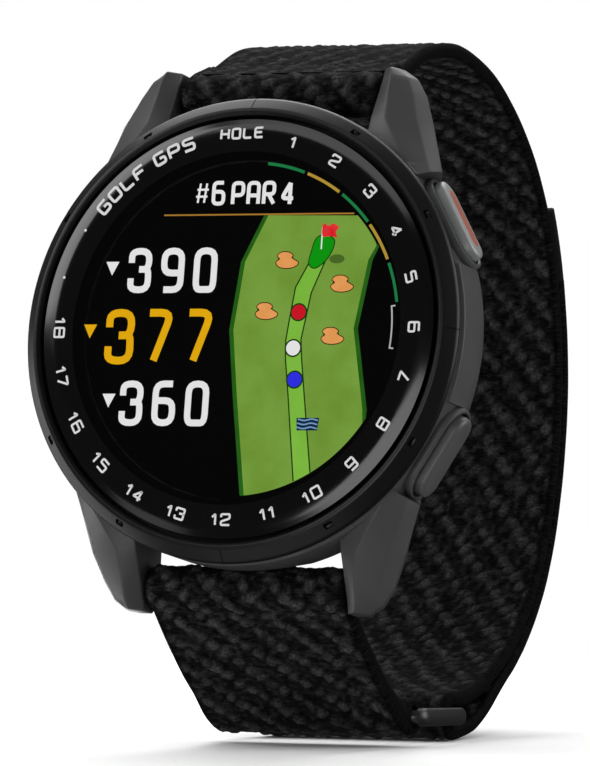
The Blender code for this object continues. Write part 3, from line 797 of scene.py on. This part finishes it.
class Screen:
    """Thin lit shapes on the display, each layer a little in front of the one before."""

    def __init__(self, looks):
        self.looks = looks

    def depth(self, layer):
        """Front and back of the shapes in a layer."""
        front = PANEL_FRONT - 0.02 - LAYER * layer
        return front, front + 0.8 * LAYER

    def add(self, name, ink, bm):
        make_piece(name, bm, self.looks[ink], "case")

    def shape(self, name, ink, layer, outlines):
        bm = bmesh.new()
        for outline in outlines:
            add_plate(bm, outline, *self.depth(layer))
        self.add(name, ink, bm)

    def text(self, name, ink, text, height, width, pitch, stroke, place, fillet=0.4):
        bm = bmesh.new()
        add_text(bm, text, height, width, pitch, stroke, *self.depth(1), place, fillet)
        self.add(name, ink, bm)

    def strokes(self, name, ink, layer, paths, width):
        bm = bmesh.new()
        for path in paths:
            add_stroke(bm, path, width, *self.depth(layer), tuple)
        self.add(name, ink, bm)


def grown(outline, distance):
    """The outline moved out by a distance."""
    points = [Vector(p) for p in outline]
    area = sum(a.x * b.y - b.x * a.y for a, b in zip(points, points[1:] + points[:1]))
    turn = 1 if area > 0 else -1
    moved = []
    for i, here in enumerate(points):
        run = (points[(i + 1) % len(points)] - points[i - 1]).normalized()
        moved.append(here + Vector((run.y, -run.x)) * distance * turn)
    return [tuple(p) for p in moved]


MAP_LEFT = [(2.0, 10.6), (0.0, 6.3), (-0.7, 0.0), (0.1, -6.0)]
MAP_RIGHT = [(12.9, 7.7), (12.2, 6.4), (11.2, 0.1), (12.6, -7.3)]
FAIRWAY_LEFT = [(6.5, 6.4), (5.2, 3.9), (4.8, 0.8), (4.6, -1.0), (4.7, -2.7), (5.2, -6.0)]
FAIRWAY_RIGHT = [(8.0, 6.4), (6.8, 3.4), (6.4, 0.9), (6.1, -0.9), (6.3, -2.7), (6.8, -6.0)]
MAP_EDGE = 0.42
BUNKERS = [(4.2, 6.4), (9.8, 4.2), (2.5, 1.7), (9.2, -0.6)]
BUNKER_SHAPE = [
    (-1.08, -0.2), (-0.72, 0.12), (-0.98, 0.42), (-0.6, 0.72), (0.1, 0.72), (0.52, 0.45), (0.42, 0.2),
    (1.08, -0.22), (0.75, -0.58), (0.0, -0.72), (-0.75, -0.6)]
GREEN_SHAPE = [(7.0, 8.4), (7.9, 8.7), (8.7, 8.2), (8.5, 7.2), (7.9, 6.3), (7.0, 5.7), (6.4, 6.1), (6.6, 7.3)]
FLAG_SHAPE = [
    (7.55, 8.6), (7.55, 9.75), (8.1, 9.55), (8.5, 9.75), (9.1, 9.45), (8.85, 8.95), (9.0, 8.45), (8.4, 8.6)]
TEES = [("red", 5.7, 1.6), ("white_ink", 5.4, -1.7), ("blue", 5.75, -4.6)]


def make_map(screen):
    bottom = (1.5, -15.2)
    fairway_bottom = [(6.3, -13.9), (7.9, -13.1)]
    grass = MAP_LEFT + [bottom] + arc(DISPLAY_R, 174, 124, 30)
    grass += MAP_RIGHT[::-1] + arc(DISPLAY_R - 0.2, 58, 46, 10)
    edge = [(x - MAP_EDGE, z) for x, z in MAP_LEFT + [bottom]]
    edge += arc(DISPLAY_R + 0.01, 175.5, 122, 30) + [(x + MAP_EDGE, z) for x, z in MAP_RIGHT[:0:-1]]
    edge += [(13.15, 7.6)] + arc(DISPLAY_R - 0.19, 58, 46, 10)
    screen.shape("map_edge", "grass_edge", 0, [edge])
    screen.shape("map_grass", "grass", 1, [grass])
    screen.shape("map_fairway", "fairway", 2, [FAIRWAY_LEFT + fairway_bottom + FAIRWAY_RIGHT[::-1]])
    sides = [FAIRWAY_LEFT + fairway_bottom[:1], FAIRWAY_RIGHT + fairway_bottom[1:]]
    screen.strokes("map_fairway_sides", "outline", 3, sides, 0.13)
    green = blob(GREEN_SHAPE)
    screen.shape("map_green_edge", "outline", 4, [grown(green, 0.1)])
    screen.shape("map_green", "green", 5, [green])
    shadow = [(9.1 + 0.75 * x, 6.5 + 0.42 * z) for x, z in circle(0, 0, 1)]
    screen.shape("map_shadow", "smudge", 3, [shadow])
    bunkers = [blob(BUNKER_SHAPE, 5, x, z) for x, z in BUNKERS]
    screen.shape("map_bunker_edges", "sand_edge", 4, [grown(bunker, 0.09) for bunker in bunkers])
    screen.shape("map_bunkers", "sand", 5, bunkers)
    for name, x, z in TEES:
        screen.shape(f"tee_{name}_rim", "outline", 6, [circle(x, z, 0.84)])
        screen.shape(f"tee_{name}", name, 7, [circle(x, z, 0.69)])
    screen.strokes("flag_pole", "white_ink", 6, [[(7.5, 7.4), (7.5, 9.4)]], 0.13)
    screen.shape("flag_cloth", "flag", 7, [blob(FLAG_SHAPE, 4)])
    make_water(screen, 7.3, -8.7)


def make_water(screen, x, z):
    waves = []
    across = np.linspace(-1.0, 1.0, 15)
    for row in (0.42, 0.05, -0.32):
        waves.append([(x + 0.1 * row + u, z + row + 0.07 * math.sin(4.2 * u)) for u in across])
    back = [(x - 1.1, z + 0.6), (x + 1.15, z + 0.6), (x + 1.0, z - 0.55), (x - 1.0, z - 0.55)]
    screen.shape("water_back", "deep", 4, [back])
    screen.strokes("water_waves", "wave", 5, waves, 0.13)


# clock angles where each stretch of the ring of scores starts and ends
SCORE_ARCS = [(6, 20), (21.3, 35), (36.4, 50.2), (51.5, 65.4), (66.8, 80.6)]
SCORE_BRACKET = (81.8, 96.5)


def make_scores(screen):
    for name, ink, first in (("score_pars", "score_green", 0), ("score_bogeys", "score_gold", 1)):
        bands = [arc(15.62, a, b) + arc(15.34, b, a) for a, b in SCORE_ARCS[first::2]]
        screen.shape(name, ink, 2, bands)
    start, end = SCORE_BRACKET
    bracket = [clock_point(15.32, start), *arc(14.95, start, end, 20), clock_point(15.32, end)]
    screen.strokes("score_bracket", "grey_ink", 3, [bracket], 0.14)


# text, ink, centre x and z, pen height and width, pitch, stroke, marker's tip
DISTANCES = [
    ("390", "white_ink", -7.25, 5.55, 3.6, 1.75, 3.3, 0.62, (-13.35, 5.1)),
    ("377", "gold_ink", -8.1, -0.62, 4.45, 2.2, 4.0, 0.72, (-15.15, -0.75)),
    ("360", "white_ink", -7.15, -6.8, 3.6, 1.75, 3.3, 0.62, (-12.75, -7.2)),
]


def make_display(looks):
    screen = Screen(looks)
    make_map(screen)
    make_scores(screen)
    for text, ink, x, z, height, width, pitch, stroke, tip in DISTANCES:
        screen.text(f"distance_{text}", ink, text, height, width, pitch, stroke, at_point(x, z), 0.48)
        u, v = tip
        screen.shape(f"marker_{text}", ink, 1, [[(u, v), (u - 0.66, v + 1.28), (u + 0.66, v + 1.28)]])
    screen.text("title_hash", "white_ink", "#", 1.8, 1.15, 1.5, 0.2, at_point(-4.8, 12.72))
    screen.text("title_hole", "white_ink", "6", 1.95, 1.0, 1.62, 0.36, at_point(-3.15, 12.7))
    screen.text("title_par", "white_ink", "PAR", 1.95, 1.0, 1.55, 0.36, at_point(0.35, 12.65))
    screen.text("title_number", "white_ink", "4", 1.95, 1.15, 1.6, 0.38, at_point(3.75, 12.6))
    screen.shape("title_line", "line_ink", 1, [[(-8.5, 10.62), (10.5, 10.62), (10.5, 10.76), (-8.5, 10.76)]])


# ---- buttons
def make_buttons(looks):
    crown = [
        (20.9, 4.1, 1.5), (21.8, 4.1, 1.5), (21.95, 4.06, 1.46), (22.06, 3.96, 1.36), (22.13, 3.82, 1.22),
        (22.19, 3.5, 0.9), (22.2, 3.1, 0.5)]
    for word, sign in (("upper", 1), ("lower", -1)):
        recess = button_frame(sign)
        hollow = rod(1.25, recess @ Vector((20.0, 0, 0)), recess @ Vector((21.45, 0, 0)))
        cap = carved(pill(crown, sign), (), [hollow])
        look = looks["light_cap" if sign > 0 else "cap"]
        make_piece(f"{word}_cap", cap, look, f"{word}_button", [f"{word}_button_cap"])
    stripe = pill([(21.8, 3.1, 0.72), (22.16, 3.1, 0.72), (22.22, 3.0, 0.62), (22.24, 2.8, 0.45)], 1)
    make_piece(
        "upper_stripe", stripe, looks["orange"], "upper_button", ["upper_button_stripe"])


# ---- strap curves, in the YZ plane
LONG_MIDDLE = [
    (-3.2, 24.4), (0.9, 26.2), (5.6, 28.8), (10.0, 30.2), (14.7, 30.9), (20.7, 30.4), (25.3, 29.1),
    (30.1, 26.8), (34.5, 23.7), (38.2, 19.8), (41.0, 15.4), (43.2, 10.0), (44.6, 3.8), (44.8, -3.6),
    (43.5, -11.4), (40.7, -17.6), (36.3, -22.9), (31.2, -26.6), (27.6, -28.4), (25.2, -29.15),
]
RING_WRAP = [
    (23.9, -29.4), (22.6, -29.5), (21.6, -29.95), (21.18, -30.72), (21.15, -31.52), (21.5, -32.3),
    (22.3, -32.72), (23.7, -32.6),
]
SHORT_MIDDLE = [(-3.2, -24.4), (0.7, -27.2), (5.0, -29.9), (9.1, -31.7), (12.9, -32.45)]


def lengths(path):
    """How far each point of a path is along it."""
    return np.concatenate([[0], np.cumsum(np.linalg.norm(np.diff(path, axis=0), axis=1))])


def spine(points):
    """A smooth curve through (y, z) points, as an array of evenly spaced points."""
    fine = np.array([p[:] for p in smooth_through(points, 24)])
    runs = lengths(fine)
    even = np.linspace(0, runs[-1], int(runs[-1] / SPINE_STEP) + 1)
    return np.stack([np.interp(even, runs, fine[:, 0]), np.interp(even, runs, fine[:, 1])], 1)


def outward(path):
    """Unit normals on the left of the direction of travel, which is away from the wrist."""
    run = np.gradient(path, axis=0)
    run /= np.linalg.norm(run, axis=1)[:, None]
    return np.stack([-run[:, 1], run[:, 0]], 1)


def nearest(path, point):
    return int(np.argmin(np.linalg.norm(path - np.array(point), axis=1)))


def smoothstep(value):
    value = np.clip(value, 0, 1)
    return value * value * (3 - 2 * value)


# ---- knitted pile
def hashed(u, v, seed):
    """Repeatable random numbers from 0 to 1 for whole-numbered cells."""
    mixed = u.astype(np.int64) * 374761393 + v.astype(np.int64) * 668265263 + seed * 974634777
    mixed = (mixed ^ (mixed >> 13)) * 1274126177
    return ((mixed ^ (mixed >> 16)) & 0xFFFFFF) / 0xFFFFFF


def smooth_noise(u, v, seed):
    cu, cv = np.floor(u), np.floor(v)
    fu, fv = smoothstep(u - cu), smoothstep(v - cv)
    low = hashed(cu, cv, seed) * (1 - fu) + hashed(cu + 1, cv, seed) * fu
    high = hashed(cu, cv + 1, seed) * (1 - fu) + hashed(cu + 1, cv + 1, seed) * fu
    return low * (1 - fv) + high * fv


COLUMN = 0.85  # millimetres between the cloth's columns of loops, across the strap
COURSE = 1.05  # and between its courses, along the strap
REPEAT = 4  # a course raises one loop in this many, each course one column further on than the last
BAND_EDGE = 0.42  # radius of a strap's side edges


def tufts(x, s, seed):
    """Heights from 0 to 1 of the cloth's pile. x and s are millimetres across and along the strap."""
    height = np.zeros_like(x)
    for step in (-1, 0, 1):
        course = np.floor(s / COURSE) + step
        loop = np.floor((x / COLUMN - course) / REPEAT)
        dx = x - COLUMN * (REPEAT * (loop + 0.5) + course + 0.5 * (hashed(loop, course, seed) - 0.5))
        ds = s - COURSE * (course + 0.5 + 0.3 * (hashed(loop, course, seed + 1) - 0.5))
        lean = 0.7 * (hashed(loop, course, seed + 2) - 0.5)
        width = 0.55 + 0.25 * hashed(loop, course, seed + 3)
        tall = 0.6 + 0.4 * hashed(loop, course, seed + 4)
        height = np.maximum(height, tall * (1 - ((dx - lean * ds) / width) ** 2 - (ds / 0.75) ** 2))
    frayed = 0.35 + 1.2 * smooth_noise(x / 0.32, s / 0.32, seed + 5)
    stray = 0.6 * smooth_noise(x / 0.42, s / 0.36, seed + 6) ** 3
    return np.clip(height * frayed + stray, 0, 1)


def knitted(name, points, faces, cloth, pile):
    """A mesh of points in millimetres, with the two attributes that the woven material reads."""
    mesh = bpy.data.meshes.new(name)
    mesh.from_pydata((points.reshape(-1, 3) * MM).tolist(), [], faces)
    mesh.attributes.new("cloth", "FLOAT_VECTOR", "POINT").data.foreach_set("vector", cloth.reshape(-1))
    mesh.attributes.new("pile", "FLOAT", "POINT").data.foreach_set("value", pile.reshape(-1))
    bm = bmesh.new()
    bm.from_mesh(mesh)
    bmesh.ops.delete(bm, geom=[v for v in bm.verts if not v.link_faces], context="VERTS")
    bmesh.ops.recalc_face_normals(bm, faces=bm.faces)
    bm.to_mesh(mesh)
    bm.free()
    mesh.shade_smooth()
    return mesh


def make_band(name, path, outer, inner, finish, seed, relief=0.24, start=0.0):
    """A strap along a spine: outer and inner say how far its two faces are from the spine."""
    count = len(path)
    outer, inner = np.broadcast_to(outer, count), np.broadcast_to(inner, count)
    reach = STRAP_HALF - BAND_EDGE
    flat = np.linspace(-reach, reach, int(2 * reach / GRID_STEP) + 1)
    turn = np.radians(np.linspace(90, -90, 8)[1:-1])
    bulge = reach + BAND_EDGE * np.cos(turn)
    lift = np.sin(turn)
    x = np.concatenate([flat, bulge, flat[::-1], -bulge[::-1]])
    side = np.concatenate([np.ones(len(flat)), lift, -np.ones(len(flat)), -lift[::-1]])
    s = lengths(path) + start
    normal = outward(path)

    xx, ss = np.meshgrid(x, s)
    faces_out = side[None, :] > 0
    hem = smoothstep((STRAP_HALF - 0.5 - np.abs(xx)) / 0.3)
    pile = np.where(faces_out, tufts(xx, ss, seed), tufts(xx, ss, seed + 7))
    pile = pile * hem * (np.abs(side)[None, :] > 0.99)
    ends = smoothstep(np.minimum(s - s[0], s[-1] - s) / 0.8)[:, None]
    rough = smooth_noise(xx * 1.3, ss * 1.3, seed + 11) - 0.5
    raised = (relief * (pile - 0.45) + 0.08 * rough) * hem * ends
    hem_cord = 0.05 * np.exp(-((reach - np.abs(xx)) / 0.12) ** 2)
    overlock = 0.02 * np.sin(2 * math.pi * ss / 0.55) * (1 - hem)
    middle = (outer - inner)[:, None] / 2
    half = (outer + inner)[:, None] / 2
    out = middle + side[None, :] * (half + raised + hem_cord + overlock)
    wander = 1 + 0.004 * (smooth_noise(ss * 0.35, ss * 0 + 2.5, seed + 5) - 0.5)
    points = np.stack([
        xx * wander, path[:, 0:1] + normal[:, 0:1] * out, path[:, 1:2] + normal[:, 1:2] * out], 2)

    index = np.arange(xx.size).reshape(xx.shape)
    here, there = index[:-1], index[1:]
    quads = np.stack([here, np.roll(here, -1, 1), np.roll(there, -1, 1), there], 2).reshape(-1, 4)
    faces = quads.tolist() + [index[0][::-1].tolist(), index[-1].tolist()]
    cloth = np.stack([xx, ss, np.broadcast_to(np.where(faces_out, 0.0, 40.0), xx.shape)], 2)
    mesh = knitted(name, points, faces, cloth, np.clip(pile, 0, 1))
    return add_piece(name, mesh, finish, None)


def make_roll(name, centre, outer, inner, finish, body, lever_slot, seed):
    """A strap end sewn round a bar: a knitted tube, which may have a slot for the bar's lever."""
    xs = np.linspace(-STRAP_HALF + 0.05, STRAP_HALF - 0.05, 91)
    angles = np.linspace(0, 2 * math.pi, 73)[:-1]
    xx, aa = np.meshgrid(xs, angles)
    pile = tufts(xx, aa * outer, seed)
    edge = smoothstep((STRAP_HALF - 0.2 - np.abs(xx)) / 0.5)
    radius = outer - 0.25 * (1 - edge) + 0.22 * (pile - 0.5) * edge
    skins = []
    for reach in (radius, np.full_like(xx, inner)):
        skins.append(np.stack([xx, centre.y + reach * np.cos(aa), centre.z + reach * np.sin(aa)], 2))
    rows, columns = xx.shape
    open_cell = np.zeros((rows, columns - 1), bool)
    if lever_slot:
        middle = (xs[:-1] + xs[1:]) / 2
        turn = (angles + math.pi / rows + math.pi) % (2 * math.pi) - math.pi
        across = (middle > LEVER_X - 2.0) & (middle < LEVER_X + 0.65)
        open_cell = (np.abs(turn) < 0.42)[:, None] & across[None, :]
    faces = []
    for i in range(rows):
        for k in range(columns - 1):
            if open_cell[i, k]:
                continue
            j = (i + 1) % rows
            corners = [i * columns + k, i * columns + k + 1, j * columns + k + 1, j * columns + k]
            under = [c + rows * columns for c in corners]
            faces.append(corners)
            faces.append(under[::-1])
            walls = (
                (open_cell[i - 1, k], 0, 1), (k == columns - 2 or open_cell[i, k + 1], 1, 2),
                (open_cell[j, k], 2, 3), (k == 0 or open_cell[i, k - 1], 3, 0))
            for exposed, a, b in walls:
                if exposed:
                    faces.append([corners[a], under[a], under[b], corners[b]])
    cloth = np.stack([xx, aa * outer, np.full_like(xx, 80.0)], 2)
    pile = np.stack([pile * edge, np.zeros_like(xx)])
    mesh = knitted(name, np.stack(skins), faces, np.stack([cloth, cloth]), pile)
    return add_piece(name, mesh, finish, body)


def make_long_strap(looks):
    """The long strap: from the top bar round the wrist, back over the ring, and up its own outside."""
    inner_layer = spine(LONG_MIDDLE)
    half = STRAP_T / 2
    span = inner_layer[nearest(inner_layer, TIP_POINT):]
    near_ring = smoothstep(1 - np.linalg.norm(span - inner_layer[-1], axis=1) / 11.0)
    away = STRAP_T + GAP + 1.45 * near_ring
    outside = span + outward(span) * away[:, None]
    tab_end = int(TAB_LENGTH / SPINE_STEP)

    wrap = spine(LONG_MIDDLE[-2:] + RING_WRAP + [tuple(outside[-1])])
    joint = nearest(wrap, LONG_MIDDLE[-1])
    whole = np.concatenate([inner_layer[:-1], wrap[joint:]])
    s = lengths(whole)
    fold = 0.35 * smoothstep((4.2 - s) / 0.7)
    strap = make_band("long_strap", whole, half + 0.05 + fold, half + 0.05, looks["weave"], 3)
    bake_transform(strap)
    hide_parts("long_strap_upper", "long_strap_back")

    tail = make_band("strap_tail", outside[tab_end:], half + 0.05, half, looks["weave"], 19, start=9.0)
    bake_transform(tail)
    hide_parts("long_strap_tail")

    tip = make_band("strap_tip", outside[:tab_end + 1], half, half, looks["tab"], 23, 0.02)
    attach(tip, "strap_tail")
    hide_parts("strap_tip_tab")
    make_roll("upper_roll", TOP_BAR, BAR_LOOP_R, 1.0, looks["weave"], "strap_upper", True, 31)


def make_short_strap(looks):
    """The short strap, which is sewn double where it holds the ring."""
    path = spine(SHORT_MIDDLE)
    travel = lengths(path)
    doubled = smoothstep((travel - travel[-1] + 7.0) / 6.0)
    strap = make_band("front_strap", path, 0.82, 0.8 + doubled, looks["weave"], 41, 0.28)
    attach(strap, "strap_lower")
    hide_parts("short_strap")
    make_roll("lower_roll", BOTTOM_BAR, BAR_LOOP_R, 1.0, looks["weave"], "strap_lower", True, 43)
    make_roll("ring_roll", RING_FRONT, 1.85, 1.05, looks["weave"], "strap_lower", False, 47)


# ---- ring
def rounded_rectangle(half_x, half_y, radius, arc_steps=10):
    points = []
    for quarter, (sx, sy) in enumerate(((1, 1), (-1, 1), (-1, -1), (1, -1))):
        for i in range(arc_steps + 1):
            a = math.pi / 2 * (quarter + i / arc_steps)
            x = sx * (half_x - radius) + radius * math.cos(a)
            points.append((x, sy * (half_y - radius) + radius * math.sin(a)))
    return points


def make_ring(looks):
    """A flat slider frame with rounded bars, made of sections that run round the slot."""
    run = RING_REAR - RING_FRONT
    tilt = Matrix.Translation(RING_FRONT) @ Matrix.Rotation(math.atan2(run.z, run.y), 4, "X")
    bar, thick = 1.6, 1.3
    outer = rounded_rectangle(RING_HALF, run.length / 2 + bar / 2, 1.5)
    inner = rounded_rectangle(STRAP_HALF + GAP, run.length / 2 - bar / 2, 0.6)
    sections = []
    for (ox, oy), (ix, iy) in zip(outer, inner):
        centre = Vector((ox + ix, oy + iy)) / 2
        reach = Vector((ox - ix, oy - iy)) / 2
        section = []
        for k in range(20):
            a = 2 * math.pi * k / 20
            u, v = math.cos(a), math.sin(a)
            flat = centre + reach * u
            lift = thick / 2 * (1.0 + 0.3 * smoothstep((abs(centre.x) - STRAP_HALF) / 0.5))
            section.append(tilt @ Vector((flat.x, flat.y + run.length / 2, lift * v)))
        sections.append(section)
    bm = add_loft(bmesh.new(), sections, closed=True)
    make_piece("slider_ring", bm, looks["ring"], "ring", ["strap_ring"], 50)


# ---- carried-over CAD pieces
CAD_LOOKS = {
    "back_cover": "cover", "sensor_window": "window", "charge_port": "dark", "display_panel": "panel",
    "display_tray": "dark", "antenna_ring": "brass", "main_board": "board", "sensor_board": "board",
    "processor_shield": "tin", "radio_shield": "tin", "battery": "foil", "vibration_motor": "tin",
    "case_gasket": "seal", "lens_gasket": "seal", "upper_switch": "dark", "lower_switch": "dark",
    "upper_button_seal": "seal", "lower_button_seal": "seal",
}


def dress_cad_nodes(looks):
    """Gives each CAD node its material: gold for the pins, steel for what isn't listed."""
    for name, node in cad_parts.items():
        look = "gold" if name.startswith("charge_pin") else CAD_LOOKS.get(name, "steel")
        node.data.materials.clear()
        node.data.materials.append(looks[look])


# ---- camera, floor and light
VIEW_AZIMUTH = 24.14
VIEW_ELEVATION = -8.79
VIEW_ROLL = 3.99
VIEW_DISTANCE = 575.1
VIEW_TARGET = Vector((4.87, -8.0, -4.55))
FOCAL_LENGTH = 297.5
LEAN = 9.6  # degrees that the watch leans back, standing on its strap
FLOOR_R = 190
FLOOR_BACK = 20  # the floor's centre is this far behind the dial's


def make_camera():
    azimuth, elevation, roll = (math.radians(a) for a in (VIEW_AZIMUTH, VIEW_ELEVATION, VIEW_ROLL))
    flat = math.cos(elevation)
    back = Vector((math.sin(azimuth) * flat, -math.cos(azimuth) * flat, math.sin(elevation)))
    right = Vector((math.cos(azimuth), math.sin(azimuth), 0))
    up = back.cross(right)
    tilted = math.cos(roll) * right + math.sin(roll) * up
    upright = back.cross(tilted)
    turn = Matrix((tilted, upright, back)).transposed().to_4x4()
    data = bpy.data.cameras.new("camera")
    data.lens = FOCAL_LENGTH
    data.clip_start = 0.01
    camera = bpy.data.objects.new("camera", data)
    camera.matrix_world = Matrix.Translation((VIEW_TARGET + back * VIEW_DISTANCE) * MM) @ turn
    bpy.context.scene.collection.objects.link(camera)
    bpy.context.scene.camera = camera


def make_floor():
    """A round floor that touches the lowest point of the leaning watch."""
    tilt = Matrix.Rotation(math.radians(LEAN), 4, "X")
    up = np.array(tilt.col[2][:3])
    heights = []
    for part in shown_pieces():
        if part.type == "MESH":
            points = np.array([v.co for v in part.data.vertices])
            heights.append((points @ up).min())
    mesh = bpy.data.meshes.new("floor")
    ring = [(x * MM, z * MM, 0) for x, z in reversed(circle(0, 0, FLOOR_R, 96))]
    mesh.from_pydata(ring, [], [list(range(len(ring)))])
    g = Graph("pale_floor")
    g.set(Base_Color=g.mix(g.noise(20, 3), rgba(0.84), rgba(0.88)), Roughness=0.8)
    g.set(Normal=g.bump(g.noise(900, 2), 0.02 * MM))
    mesh.materials.append(g.owner)
    floor = bpy.data.objects.new("floor", mesh)
    floor.matrix_world = tilt @ Matrix.Translation((0, FLOOR_BACK * MM, min(heights)))
    floor.visible_glossy = False
    floor.visible_shadow = False
    bpy.context.scene.collection.objects.link(floor)


# name, azimuth and elevation that it shines from, distance, size, power
SOFTBOXES = [
    ("top", -155, 64, 700, (800, 560), 5.6),
    ("left", -58, 27, 420, (240, 260), 0.75),
    ("high_front", -10, 42, 420, (300, 130), 0.2),
    ("right", 104, 18, 360, (240, 300), 0.8),
    ("low_front", 6, -14, 460, (230, 230), 0.55),
    ("low_left", -43, -23, 460, (110, 90), 0.028),
    ("back_left", -146, -2, 420, (120, 330), 0.5),
    ("low_far_left", -97, -18, 420, (150, 360), 0.45),
    ("below", -20, -66, 300, (260, 200), 0.1),
]


def add_softbox(name, azimuth, elevation, distance, size, power):
    """An area light that looks at the watch from a direction, in degrees and millimetres."""
    a, e = math.radians(azimuth), math.radians(elevation)
    away = Vector((math.sin(a) * math.cos(e), -math.cos(a) * math.cos(e), math.sin(e)))
    data = bpy.data.lights.new(name, "AREA")
    data.shape = "RECTANGLE"
    data.size, data.size_y = (part * MM for part in size)
    data.energy = power
    light = bpy.data.objects.new(name, data)
    turn = away.to_track_quat("Z", "Y").to_matrix().to_4x4()
    light.matrix_world = Matrix.Translation(away * distance * MM) @ turn
    bpy.context.scene.collection.objects.link(light)


def make_world():
    """A studio that is white to the camera, and lights the watch less, least of all in reflections."""
    g = Graph("studio", "worlds")
    path = g.node("ShaderNodeLightPath").outputs
    white = g.tree.nodes["Background"]
    g.feed(white.inputs["Color"], rgba(1.0))
    g.feed(white.inputs["Strength"], 1.0)
    strength = g.ranged(path["Is Diffuse Ray"], 0.0, 1.0, 0.05, 0.48)
    dim = g.node("ShaderNodeBackground", {"Color": rgba(1.0), "Strength": strength}).outputs[0]
    seen = {0: path["Is Camera Ray"], 1: dim, 2: white.outputs[0]}
    g.show(g.node("ShaderNodeMixShader", seen).outputs[0])
    bpy.context.scene.world = g.owner


def main():
    looks = make_materials()
    make_camera()
    dress_cad_nodes(looks)
    make_case(looks)
    make_numerals(looks)
    make_display(looks)
    make_buttons(looks)
    make_long_strap(looks)
    make_short_strap(looks)
    make_ring(looks)
    make_floor()
    for softbox in SOFTBOXES:
        add_softbox(*softbox)
    make_world()
    bpy.context.scene.view_settings.view_transform = "Standard"


main()
